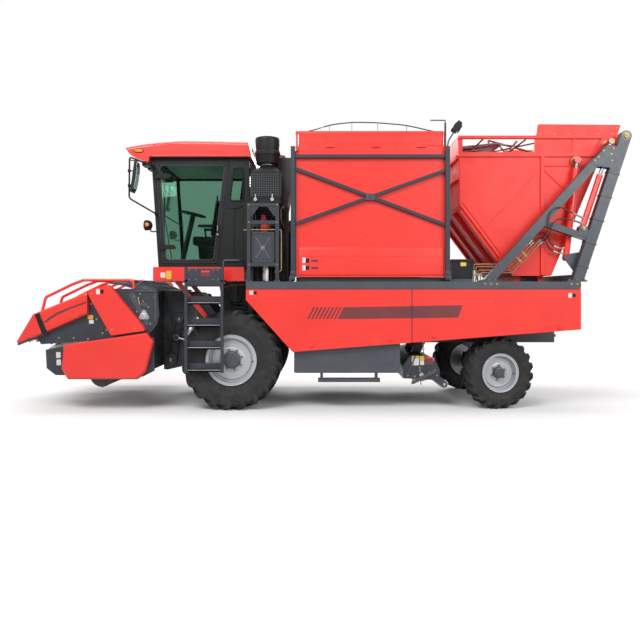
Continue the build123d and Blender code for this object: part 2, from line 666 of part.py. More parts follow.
# Header frame: side plates, tool bar, bulkhead with a window for each row, trough, hood and row beams
HEAD_BACK = -2461
BULKHEAD_X = (-3062, -3050)
TOOLBAR = ((-3060, -2960), (1180, 1300))
ROW_FRONT = (-3930, 940)
ROW_REAR = (-2990, 1310)
ROW_RISE = math.degrees(math.atan2(ROW_REAR[1] - ROW_FRONT[1], ROW_REAR[0] - ROW_FRONT[0]))
DIVIDER_RISE = 0.436


def divider_low(x):
    """Height of the dividers' lower edge."""
    return 1372 + (x + 3272) * DIVIDER_RISE


UPPER_SIDE = [(-4041, divider_low(-4041)), (DIVIDER_END, divider_low(DIVIDER_END)), (DIVIDER_END, 1650)]
UPPER_SIDE += [(-3090, 1710), (-2361, 1710), (-2332, 1339), (-2361, 1211), (-2503, 1040), (-3272, 983), (-3983, 933)]
LOWER_SIDE = [(-3918, 857), (-3272, 985), (-2503, 1041), (-2400, 1030), (-2400, 560), (-2560, 480), (-3780, 502)]
LOWER_SIDE += [(-3905, 600)]
with BuildPart() as header_frame:
    for side in SIDES:
        plate_y = mirrored((HEAD_HALF, HEAD_HALF + HEAD_PLATE), side)
        plate(UPPER_SIDE, *plate_y)
        plate(LOWER_SIDE, *plate_y)
        drum(STALK_ROTOR, 30 + RUNNING, *plate_y, mode=Mode.SUBTRACT)
        drum(AUGER, 35 + RUNNING, *plate_y, mode=Mode.SUBTRACT)
    span = (-HEAD_HALF, HEAD_HALF)
    block(TOOLBAR[0], span, TOOLBAR[1])
    block(BULKHEAD_X, span, (TOOLBAR[1][0], 1710))
    block((HEAD_BACK - 20, HEAD_BACK), span, (1040, 1710))
    plate([(-3060, 1180), (-2980, 1080), (-2481, 1040), (-2481, 1060), (-2970, 1100), (-3050, 1200)], *span)
    block((BULKHEAD_X[0], HEAD_BACK), span, (1690, 1710))
    block((-3600, -2900), span, (880, 900))
    block((HEAD_BACK - 30, HEAD_BACK), span, (560, 1040))
    for row in ROWS:
        block(BULKHEAD_X, (row - 160, row + 160), (TOOLBAR[1][1] + 20, 1640), mode=Mode.SUBTRACT)
        for edge in SIDES:
            beam_y = (row + edge * 110, row + edge * 140)
            bar(ROW_FRONT, ROW_REAR, beam_y, 50)
            deck_y = (row + edge * 25, row + edge * 112)
            bar((ROW_FRONT[0] - 8, ROW_FRONT[1] + 22), (ROW_REAR[0] - 40, ROW_REAR[1] + 8), deck_y, 12)
        block((-3080, -2990), (row - 100, row + 100), (1090, 1240))
write(header_frame.part, "header_frame")

# Dividers: five snouts and the tube guard over each, tied by two cross tubes
SNOUT_TIP = (FRONT_END, 942, 985, 50, 12)
SNOUT_NOSE = (-4074, divider_low(-4074), 1358, 210, 40)
SNOUT_BACK = (-3354, divider_low(-3354), 1650, 230, 40)
GUARD_R = 20
GUARD_TOP = 1830


def snout_section(x, low, high, width, corner):
    """One cross section of a snout."""
    with BuildSketch(Plane.YZ.offset(x)) as section:
        with Locations((snout_y, (low + high) / 2)):
            RectangleRounded(width, high - low, corner)
    return section.sketch


with BuildPart() as snouts:
    for snout_y in DIVIDERS:
        edge = abs(snout_y) == HEAD_HALF
        end = DIVIDER_END if edge else BULKHEAD_X[0]
        rear = (end, divider_low(end), 1655 if edge else 1685, 230, 40)
        loft([snout_section(*row) for row in (rear, SNOUT_BACK, SNOUT_NOSE, SNOUT_TIP)], ruled=True)
        foot = [(-3985, snout_y, 1370), (-3930, snout_y, 1590), (-3560, snout_y, 1770), (-3400, snout_y, GUARD_TOP)]
        pipe(foot + [(-2700, snout_y, GUARD_TOP), (-2700, snout_y, 1710)], GUARD_R, 60)
    for x in (-3390, -2765):
        rod((x, -HEAD_HALF, GUARD_TOP), (x, HEAD_HALF, GUARD_TOP), GUARD_R - 4)
write(snouts.part, "snouts")

# Snapping rolls: a ribbed pair under each row, with a cone in front
ROLL_FRONT = (-3880, 888)
ROLL_REAR = (-3094, 1197)
ROLL_R = 28
with BuildPart() as row_rolls:
    for row in ROWS:
        for edge in SIDES:
            y = row + edge * 42
            rod((ROLL_FRONT[0], y, ROLL_FRONT[1]), (ROLL_REAR[0], y, ROLL_REAR[1]), ROLL_R)
            bar(ROLL_FRONT, ROLL_REAR, (y - ROLL_R - 9, y + ROLL_R + 9), 10)
            bar(ROLL_FRONT, ROLL_REAR, (y - 5, y + 5), 2 * ROLL_R + 18)
            run = Vector(ROLL_FRONT[0] - ROLL_REAR[0], 0, ROLL_FRONT[1] - ROLL_REAR[1])
            with Locations(Plane(origin=(ROLL_FRONT[0], y, ROLL_FRONT[1]), z_dir=run)):
                Cone(ROLL_R, 8, 110, align=(Align.CENTER, Align.CENTER, Align.MIN))
write(row_rolls.part, "row_rolls")

# Gathering chains: two loops on each row's deck, their paddles reaching into the row
CHAIN_LONG = 800
CHAIN_WIDE = 84
CHAIN_DEEP = 22
PADDLES = 7
PADDLE_REACH = 36
DECK_LINE = ((ROW_FRONT[0] - 8, ROW_FRONT[1] + 22), (ROW_REAR[0] - 40, ROW_REAR[1] + 8))
DECK_RISE = math.atan2(DECK_LINE[1][1] - DECK_LINE[0][1], DECK_LINE[1][0] - DECK_LINE[0][0])
with BuildPart() as gathering_chains:
    for row in ROWS:
        for edge in SIDES:
            middle = [(a + b) / 2 for a, b in zip(*DECK_LINE)]
            slope = (math.cos(DECK_RISE), 0, math.sin(DECK_RISE))
            normal = (-math.sin(DECK_RISE), 0, math.cos(DECK_RISE))
            seat = Plane(origin=(middle[0], row + edge * CHAIN_WIDE, middle[1]), x_dir=slope, z_dir=normal).offset(6)
            with BuildSketch(seat) as loop:
                SlotOverall(CHAIN_LONG, CHAIN_WIDE)
                SlotOverall(CHAIN_LONG - 32, CHAIN_WIDE - 32, mode=Mode.SUBTRACT)
                for face in SIDES:
                    with Locations((0, face * (CHAIN_WIDE + PADDLE_REACH) / 2)):
                        with GridLocations(CHAIN_LONG / (PADDLES + 1), 0, PADDLES, 1):
                            Rectangle(16, PADDLE_REACH + 2)
            extrude(loop.sketch, amount=CHAIN_DEEP)
write(gathering_chains.part, "gathering_chains")

# Red drive guards on both ends of the header
GUARD_IN = HEAD_HALF + HEAD_PLATE
UPPER_GUARD = [(-3301, 1678), (-3031, 1770), (-2975, 1730), (-2491, 1130), (-2976, 1060), (-3285, 1610)]
LOWER_GUARD = [(-3632, 932), (-2490, 1096), (-2395, 973), (-2500, 560), (-2610, 454), (-3577, 454), (-3660, 600)]
with BuildPart() as side_guards:
    for side in SIDES:
        plate(UPPER_GUARD, side * GUARD_IN, side * (HALF_WIDTH - 20), corner=25)
        plate(LOWER_GUARD, side * GUARD_IN, side * HALF_WIDTH, corner=30)
    for face in (side_guards.faces().sort_by(Axis.Y)[0], side_guards.faces().sort_by(Axis.Y)[-1]):
        chamfer(face.edges(), 24)
write(side_guards.part, "side_guards")

# Feeder house behind the header, with the stalk duct below it and the eyes of the lift cylinders
FEEDER_HALF = RAIL_Y[1] - 15
with BuildPart() as feeder_house:
    outline = [(HEAD_BACK, 490), (-2400, 483), (-2078, 557), (-2000, 640), (-2000, 900), (-2250, 1060), (-1960, 1440)]
    outline += [(-1905, 1500), (-1905, 1600), (-1960, 1660), (HEAD_BACK, 1690)]
    plate(outline, -FEEDER_HALF, FEEDER_HALF)
    for side in SIDES:
        drum(PIVOT, PIVOT_R + RUNNING, side * (FEEDER_HALF + 1), side * (RAIL_Y[1] - 75), mode=Mode.SUBTRACT)
        drum(LIFT_EYE, 45, side * FEEDER_HALF, side * (LIFT_Y - 35))
        drum(LIFT_EYE, RAM_PIN_R, side * (LIFT_Y - 35), side * (LIFT_Y + 40))
write(feeder_house.part, "feeder_house")

# Stalk rotor below the rows and the cross auger behind them
with BuildPart() as stalk_rotor:
    drum(STALK_ROTOR, 80, -HEAD_HALF + 25, HEAD_HALF - 25)
    drum(STALK_ROTOR, 30, -HEAD_HALF - 25, HEAD_HALF + 25)
    for share in (-1, -0.5, 0, 0.5, 1):
        y = share * (HEAD_HALF - 30)
        drum(STALK_ROTOR, STALK_ROTOR_R - 10, y - 5, y + 5)
    with BuildSketch(Plane.XZ.offset(HEAD_HALF - 40)) as knives:
        with Locations(STALK_ROTOR):
            with PolarLocations((75 + STALK_ROTOR_R) / 2, 4):
                Rectangle(STALK_ROTOR_R - 75, 14)
    extrude(knives.sketch, amount=-2 * (HEAD_HALF - 40))
write(stalk_rotor.part, "stalk_rotor")

with BuildPart() as cross_auger:
    drum(AUGER, AUGER_TUBE_R, -HEAD_HALF + 20, HEAD_HALF - 20)
    drum(AUGER, 35, -HEAD_HALF - 25, HEAD_HALF + 25)
    for side in SIDES:
        start = (AUGER[0], side * (HEAD_HALF - 40), AUGER[1])
        middle_r = (AUGER_TUBE_R - 5 + AUGER_R) / 2
        flight = HEAD_HALF - FEEDER_HALF + 120
        helix = Helix(AUGER_PITCH, flight, middle_r, center=start, direction=(0, -side, 0), lefthand=side > 0)
        with BuildSketch(Plane(origin=helix @ 0, x_dir=(helix @ 0) - Vector(*start), z_dir=helix % 0)) as blade:
            Rectangle(AUGER_R - AUGER_TUBE_R + 5, 8)
        sweep(blade.sketch, path=helix, is_frenet=True)
write(cross_auger.part, "cross_auger")


# Cylinders: a barrel on its base pin and a rod that slides in it
def ram_point(base, eye, distance):
    """The (x, z) point at a distance from the base pin towards the rod's eye."""
    reach = math.dist(base, eye)
    return (base[0] + (eye[0] - base[0]) * distance / reach, base[1] + (eye[1] - base[1]) * distance / reach)


def at(point, y):
    """An (x, z) point at a place across the machine."""
    return (point[0], y, point[1])


def barrel(base, eye, y, radius, bore, end):
    """A cylinder barrel with the eye for its base pin."""
    drum(base, radius, y - 25, y + 25)
    rod(at(ram_point(base, eye, radius * 0.6), y), at(ram_point(base, eye, end), y), radius)
    rod(at(ram_point(base, eye, radius + 25), y), at(ram_point(base, eye, end + 1), y), bore + RUNNING, Mode.SUBTRACT)
    drum(base, RAM_PIN_R + RUNNING, y - 60, y + 60, mode=Mode.SUBTRACT)


def piston(base, eye, y, radius, start, ring, bore):
    """A cylinder rod with the eye at its end."""
    rod(at(ram_point(base, eye, start), y), at(eye, y), radius)
    drum(eye, ring, y - 24, y + 24)
    if bore:
        drum(eye, bore, y - 30, y + 30, mode=Mode.SUBTRACT)


# name: base pin, eye, middle across, barrel radius, rod radius, barrel end, rod start, eye radius, eye bore
RAMS = {
    "lift": (LIFT_BASE, LIFT_EYE, LIFT_Y, 42, 24, 420, 208, 45, 33),
    "tip": (RAM_BASE, RAM_EYE, RAM_Y, 47, 27, 1290, 80, 45, 0),
    "crank": (CRANK_BASE, CRANK_PIN, CRANK_Y, 42, 24, 800, 75, 42, 0),
}
for name, (base, eye, y, thick, thin, end, start, ring, bore) in RAMS.items():
    with BuildPart() as barrels:
        for side in SIDES:
            barrel(base, eye, side * y, thick, thin, end)
    write(barrels.part, f"{name}_barrels")
    with BuildPart() as rods:
        for side in SIDES:
            piston(base, eye, side * y, thin, start, ring, bore)
    write(rods.part, f"{name}_rods")

# Ear bin: an open box with a flap along the top of its left wall and bearers on the deck
FLAP_X = (EAR_X[0] + EAR_WALL + 5, EAR_X[1] - EAR_WALL - 5)
FLAP_HINGE = (-(EAR_HALF + 12), FLAP_Z - 12)
FLAP_HINGE_R = 10
FLAP_LUGS_X = (0, 640, 1280)
with BuildPart() as ear_bin:
    block(EAR_X, (-EAR_HALF, EAR_HALF), EAR_Z)
    inner_x = (EAR_X[0] + EAR_WALL, EAR_X[1] - EAR_WALL)
    inner_half = EAR_HALF - EAR_WALL
    block(inner_x, (-inner_half, inner_half), (EAR_Z[0] + EAR_WALL, EAR_Z[1]), mode=Mode.SUBTRACT)
    block(inner_x, (-EAR_HALF, -inner_half), (FLAP_Z, EAR_Z[1]), mode=Mode.SUBTRACT)
    block((EAR_X[0], inner_x[0]), ELEVATOR_Y, INLET_Z, mode=Mode.SUBTRACT)
    for x in (0, 1250):
        block((x - 50, x + 50), (-950, EAR_HALF - 60), (DECK_Z[1], EAR_Z[0]))
    for x in FLAP_LUGS_X:
        rod((x, *FLAP_HINGE), (x + 60, *FLAP_HINGE), FLAP_HINGE_R)
        block((x, x + 60), (FLAP_HINGE[0], -EAR_HALF), (FLAP_HINGE[1] - 10, FLAP_HINGE[1] + 2))
write(ear_bin.part, "ear_bin")

with BuildPart() as ear_flap:
    block(FLAP_X, (-EAR_HALF, -(EAR_HALF - EAR_WALL)), (FLAP_Z + 5, EAR_Z[1]))
    for x in FLAP_LUGS_X:
        rod((x + 62, *FLAP_HINGE), (x + 122, *FLAP_HINGE), FLAP_HINGE_R)
        block((x + 62, x + 122), (FLAP_HINGE[0] - 4, -EAR_HALF), (FLAP_HINGE[1], FLAP_Z + 45))
write(ear_flap.part, "ear_flap")

# Grey tipping frame of the ear bin: two posts on pins, a rail and a cross brace
POST_TOP = 3694
FRAME_Y = (-1205, -1165)
BRACE = 44
with BuildPart() as bin_frame:
    for x, out in EAR_POSTS:
        block((x - 30, x + 30), (-1230, -EAR_HALF), (EAR_PIN[1], POST_TOP))
        rod((x - 30, *EAR_PIN), (x + 30, *EAR_PIN), 38)
        rod((x - 31, *EAR_PIN), (x + 31, *EAR_PIN), EAR_PIN_R + RUNNING, Mode.SUBTRACT)
    span_x = (EAR_POSTS[0][0] + 30, EAR_POSTS[1][0] - 30)
    block(span_x, (-1210, -EAR_HALF), (3545, 3590))
    for low, high in ((2602, 3400), (3372, 2616)):
        bar((span_x[0] - 10, high), (span_x[1] + 10, low), FRAME_Y, BRACE)
    rod((EAR_POSTS[1][0] - 30, -1190, POST_TOP), (EAR_POSTS[1][0] - 30, -1190, 4030), 14)
write(bin_frame.part, "bin_frame")

# Silage bin: a hopper with an open band under its front rim, ribs, rim boards and the tipping brackets
HOPPER = [(1924, 3933), (1953, 2930), (2720, 1900), (3280, 1900), (4110, 3890), (4110, 3933)]
HOPPER_IN = [(1950, 3980), (1978, 2938), (2733, 1925), (3263, 1925), (4083, 3895), (4083, 3980)]
RIB = 28
TIP_BRACKET = [(3860, 3690), (4010, 3900), (4110, 3950), (4250, 3950), (4305, 3880), (4290, 3815), (4230, 3790)]
TIP_BRACKET += [(4060, 3740), (3990, 3660)]
RIM_BOARD = [(3060, 3925), (3090, 4105), (4290, 4095), (4240, 3945), (4110, 3925)]
with BuildPart() as silage_bin:
    plate(HOPPER, -SILAGE_HALF, SILAGE_HALF)
    plate(HOPPER_IN, -(SILAGE_HALF - SILAGE_WALL), SILAGE_HALF - SILAGE_WALL, mode=Mode.SUBTRACT)
    block((1990, 3040), (-SILAGE_HALF, SILAGE_HALF), (3700, 3890), mode=Mode.SUBTRACT)
    for side in SIDES:
        rib_y = mirrored((SILAGE_HALF, SILAGE_HALF + RIB), side)
        block((1935, 3980), rib_y, (3630, 3690))
        block((1925, 4100), rib_y, (3893, 3933))
        block((3120, 3170), rib_y, (1910, 3640))
        plate(TIP_BRACKET, *rib_y)
        plate(RIM_BOARD, *mirrored((SILAGE_HALF - 20, SILAGE_HALF), side))
        drum(MAST_PIN, MAST_PIN_R, side * SILAGE_HALF, side * (MAST_Y[1] - 2))
        drum(CRANK_PIN, RAM_PIN_R, side * SILAGE_HALF, side * (CRANK_Y - 25))
        drum(RAM_EYE, 60, side * SILAGE_HALF, side * (SILAGE_HALF + 33))
    block((2790, 2870), (-700, 700), (DECK_Z[1], 1900))
    block((3130, 3210), (-700, 700), (DECK_Z[1], 1900))
write(silage_bin.part, "silage_bin")

# Mast: on each side a leaning column, a brace, a strut and gussets; a cross tube joins the feet
COLUMN_LEFT = [(3481, 1810), (4174, 3896)]
COLUMN_RIGHT = [(3639, 1810), (4316, 3850)]
BRACE_OUTLINE = [(2215, 1810), (2377, 1810), (3887, 3487), (3798, 3567)]
GUSSET = [(3740, 3480), (3880, 3640), (3985, 3745), (4110, 3720), (4080, 3500), (4020, 3420), (3860, 3440)]
CRANK_BRACKET = [(3560, 2470), (3590, 2590), (3642, 2618), (3690, 2590), (3760, 2430)]
RAM_BRACKET = [(3405, 2158), (3440, 2105), (3560, 1940), (3720, 2250), (3500, 2215), (3430, 2205)]
with BuildPart() as mast:
    for side in SIDES:
        depth = mirrored(MAST_Y, side)
        plate([COLUMN_LEFT[0], COLUMN_RIGHT[0], COLUMN_RIGHT[1], COLUMN_LEFT[1]], *depth)
        drum(MAST_PIN, MAST_HEAD_R, *depth)
        for share in (0.1, 0.26, 0.42, 0.58, 0.74):
            x = MAST_FOOT[0] + share * (MAST_PIN[0] - MAST_FOOT[0])
            z = MAST_FOOT[1] + share * (MAST_PIN[1] - MAST_FOOT[1])
            run = ((MAST_PIN[0] - MAST_FOOT[0]) / 100, (MAST_PIN[1] - MAST_FOOT[1]) / 100)
            bar((x, z), (x + run[0], z + run[1]), mirrored((MAST_Y[0] - 8, MAST_Y[1] + 8), side), 166)
        plate(BRACE_OUTLINE, *mirrored((MAST_Y[0] + 5, MAST_Y[1] - 5), side))
        bar((3090, 2640), (3720, 2430), mirrored((MAST_Y[0] + 10, MAST_Y[1] - 10), side), 90)
        for low, high in ((MAST_Y[0], MAST_Y[0] + 12), (MAST_Y[1] - 12, MAST_Y[1])):
            plate(GUSSET, *mirrored((low, high), side))
        for low, high in ((MAST_Y[0] + 5, MAST_Y[0] + 16), (MAST_Y[1] - 16, MAST_Y[1] - 5)):
            plate(CRANK_BRACKET, *mirrored((low, high), side))
        drum(CRANK_BASE, RAM_PIN_R, side * (MAST_Y[0] + 5), side * (MAST_Y[1] - 5))
        plate(RAM_BRACKET, *mirrored((MAST_Y[0] - 15, MAST_Y[0]), side))
        drum(RAM_BASE, RAM_PIN_R, side * (MAST_Y[0] - 1), side * (RAM_Y - 35))
        for foot in ((3400, 3680), (2180, 2420)):
            block(foot, mirrored((MAST_Y[0] - 30, MAST_Y[1] + 30), side), (DECK_Z[1], DECK_Z[1] + 20))
        drum(MAST_PIN, MAST_PIN_R + RUNNING, side * (MAST_Y[0] - 20), side * (MAST_Y[1] + 20), mode=Mode.SUBTRACT)
    block((3500, 3600), (-MAST_Y[0], MAST_Y[0]), (DECK_Z[1], DECK_Z[1] + 100))
write(mast.part, "mast")

# Stubble shredder: hood with end plates hung from the rails, a knife rotor and a ground roller
HOOD = [(1106, 430), (1106, 610), (1200, 740), (1400, 758), (1560, 700), (1629, 560), (1629, 400)]
with BuildPart() as shredder_hood:
    plate(HOOD, -SHREDDER_HALF, SHREDDER_HALF)
    inside = [(x + 14 * (1 if x < SHREDDER[0] else -1), z - 14 if z > 500 else z - 30) for x, z in HOOD]
    plate(inside, -(SHREDDER_HALF - 14), SHREDDER_HALF - 14, mode=Mode.SUBTRACT)
    for side in SIDES:
        end_y = mirrored((SHREDDER_HALF - 14, SHREDDER_HALF), side)
        bar((1500, 500), ROLLER, end_y, 90)
        drum(ROLLER, 45, *end_y)
        drum(SHREDDER, 90, *end_y)
        drum(ROLLER, 20 + RUNNING, *end_y, mode=Mode.SUBTRACT)
        drum(SHREDDER, 30 + RUNNING, *end_y, mode=Mode.SUBTRACT)
        plate([(1300, 740), (1440, 740), (1520, 900), (1380, 900)], *mirrored(RAIL_Y, side))
write(shredder_hood.part, "shredder_hood")

with BuildPart() as shredder_rotor:
    drum(SHREDDER, 75, -SHREDDER_HALF + 30, SHREDDER_HALF - 30)
    drum(SHREDDER, 30, -SHREDDER_HALF, SHREDDER_HALF)
    for index in range(16):
        y = -930 + index * 124
        angle = math.radians(45 * (index % 2))
        for turn in (0, math.pi / 2, math.pi, 3 * math.pi / 2):
            tip = (SHREDDER[0] + SHREDDER_R * math.cos(angle + turn), SHREDDER[1] + SHREDDER_R * math.sin(angle + turn))
            bar(SHREDDER, tip, (y - 30, y + 30), 12)
write(shredder_rotor.part, "shredder_rotor")

with BuildPart() as shredder_roller:
    drum(ROLLER, ROLLER_R, -SHREDDER_HALF + 30, SHREDDER_HALF - 30)
    drum(ROLLER, 20, -SHREDDER_HALF, SHREDDER_HALF)
write(shredder_roller.part, "shredder_roller")
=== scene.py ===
"""Looks of the corn harvester: materials, dressing pieces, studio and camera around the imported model."""

import math

import bmesh
import bpy
from mathutils import Matrix, Vector


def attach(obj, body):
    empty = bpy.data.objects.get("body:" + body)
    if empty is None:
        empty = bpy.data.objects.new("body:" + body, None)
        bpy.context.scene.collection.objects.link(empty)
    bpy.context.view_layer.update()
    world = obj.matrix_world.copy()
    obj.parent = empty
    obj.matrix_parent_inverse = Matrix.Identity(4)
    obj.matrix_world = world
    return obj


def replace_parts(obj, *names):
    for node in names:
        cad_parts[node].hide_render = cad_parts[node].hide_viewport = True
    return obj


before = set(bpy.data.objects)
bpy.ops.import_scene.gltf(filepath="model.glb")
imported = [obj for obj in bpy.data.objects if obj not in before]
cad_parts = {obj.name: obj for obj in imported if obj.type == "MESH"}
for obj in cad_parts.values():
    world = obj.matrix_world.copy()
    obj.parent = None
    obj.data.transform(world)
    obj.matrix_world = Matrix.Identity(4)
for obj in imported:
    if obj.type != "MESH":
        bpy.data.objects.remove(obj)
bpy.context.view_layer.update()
MM = 0.001
FLIP = Matrix.Diagonal((1, -1, 1, 1))
FLIP_WAY = FLIP.to_3x3()
HANDS = {"left": -1, "right": 1}
DUST_TONE = (0.30, 0.26, 0.22)

# Outer faces of the solids, as distances from the middle of the machine
SKIRT_FACE = 1240
MAST_FACE = 1120
EAR_FACE = 1150
SILAGE_FACE = 850
CAB_FACE = 820
HEAD_FACE = 1210
GUARD_FACE = 1300
SHREDDER_FACE = 1000
FEEDER_FACE = 405


# Materials: every surface has two tones, dust, uneven gloss and a fine grain
def shader(name):
    """A new material with its node tree, Principled node and object coordinates."""
    mat = bpy.data.materials.new(name)
    mat.use_nodes = True
    tree = mat.node_tree
    return mat, tree, tree.nodes["Principled BSDF"], tree.nodes.new("ShaderNodeTexCoord").outputs["Object"]


def feed(tree, socket, value):
    """A socket set to a colour or a number, or linked to another socket."""
    if isinstance(value, tuple):
        socket.default_value = (*value, 1)
    elif isinstance(value, (int, float)):
        socket.default_value = value
    else:
        tree.links.new(value, socket)


def noise(tree, coords, scale, detail=4.0, rough=0.55):
    """A noise value over the object."""
    node = tree.nodes.new("ShaderNodeTexNoise")
    for key, value in (("Scale", scale), ("Detail", detail), ("Roughness", rough), ("Vector", coords)):
        feed(tree, node.inputs[key], value)
    return node.outputs["Fac"]


def spread(tree, value, low, high, to_low=0.0, to_high=1.0):
    """A value mapped from one range to another."""
    node = tree.nodes.new("ShaderNodeMapRange")
    keys = ("Value", "From Min", "From Max", "To Min", "To Max")
    for key, number in zip(keys, (value, low, high, to_low, to_high)):
        feed(tree, node.inputs[key], number)
    return node.outputs["Result"]


def mixed(tree, share, first, second):
    """Two colours mixed by a share."""
    node = tree.nodes.new("ShaderNodeMix")
    node.data_type = "RGBA"
    for socket, value in ((node.inputs["Factor"], share), (node.inputs[6], first), (node.inputs[7], second)):
        feed(tree, socket, value)
    return node.outputs[2]


def joined(tree, operation, first, second):
    """Two values joined by one step of arithmetic."""
    node = tree.nodes.new("ShaderNodeMath")
    node.operation = operation
    feed(tree, node.inputs[0], first)
    feed(tree, node.inputs[1], second)
    return node.outputs["Value"]


def coating(name, colour, shade, gloss, coat, metal, dust, grain, bump, shine):
    """Paint, plastic or metal: two tones, dust that gathers low down, uneven gloss and a fine grain."""
    mat, tree, bsdf, coords = shader(name)
    base = mixed(tree, spread(tree, noise(tree, coords, 1.7), 0.35, 0.65), shade, colour)
    height = tree.nodes.new("ShaderNodeSeparateXYZ")
    tree.links.new(coords, height.inputs["Vector"])
    low = spread(tree, height.outputs["Z"], 1.9, 0.2, 0.25, 1.0)
    film = joined(tree, "MULTIPLY", spread(tree, noise(tree, coords, 6.0, 8.0, 0.65), 0.45, 0.75), low)
    tint = mixed(tree, joined(tree, "MULTIPLY", film, dust), base, DUST_TONE)
    rough = spread(tree, noise(tree, coords, 9.0), 0.3, 0.7, gloss - 0.05, gloss + 0.07)
    for key, value in (("Base Color", tint), ("Roughness", rough), ("Metallic", metal),
                       ("Specular IOR Level", shine), ("Coat Weight", coat), ("Coat Roughness", 0.08)):
        feed(tree, bsdf.inputs[key], value)
    relief = tree.nodes.new("ShaderNodeBump")
    for key, value in (("Strength", bump), ("Distance", 0.002), ("Height", noise(tree, coords, grain, 2.0))):
        feed(tree, relief.inputs[key], value)
    tree.links.new(relief.outputs["Normal"], bsdf.inputs["Normal"])
    return mat


def glazing(name, colour):
    """Tinted safety glass with a faint film of dust."""
    mat, tree, bsdf, coords = shader(name)
    film = spread(tree, noise(tree, coords, 3.0, 6.0), 0.4, 0.75, 0.0, 0.05)
    tint = mixed(tree, film, colour, (0.55, 0.6, 0.55))
    for key, value in (("Base Color", tint), ("Roughness", 0.0), ("Transmission Weight", 1.0), ("IOR", 1.12)):
        feed(tree, bsdf.inputs[key], value)
    return mat


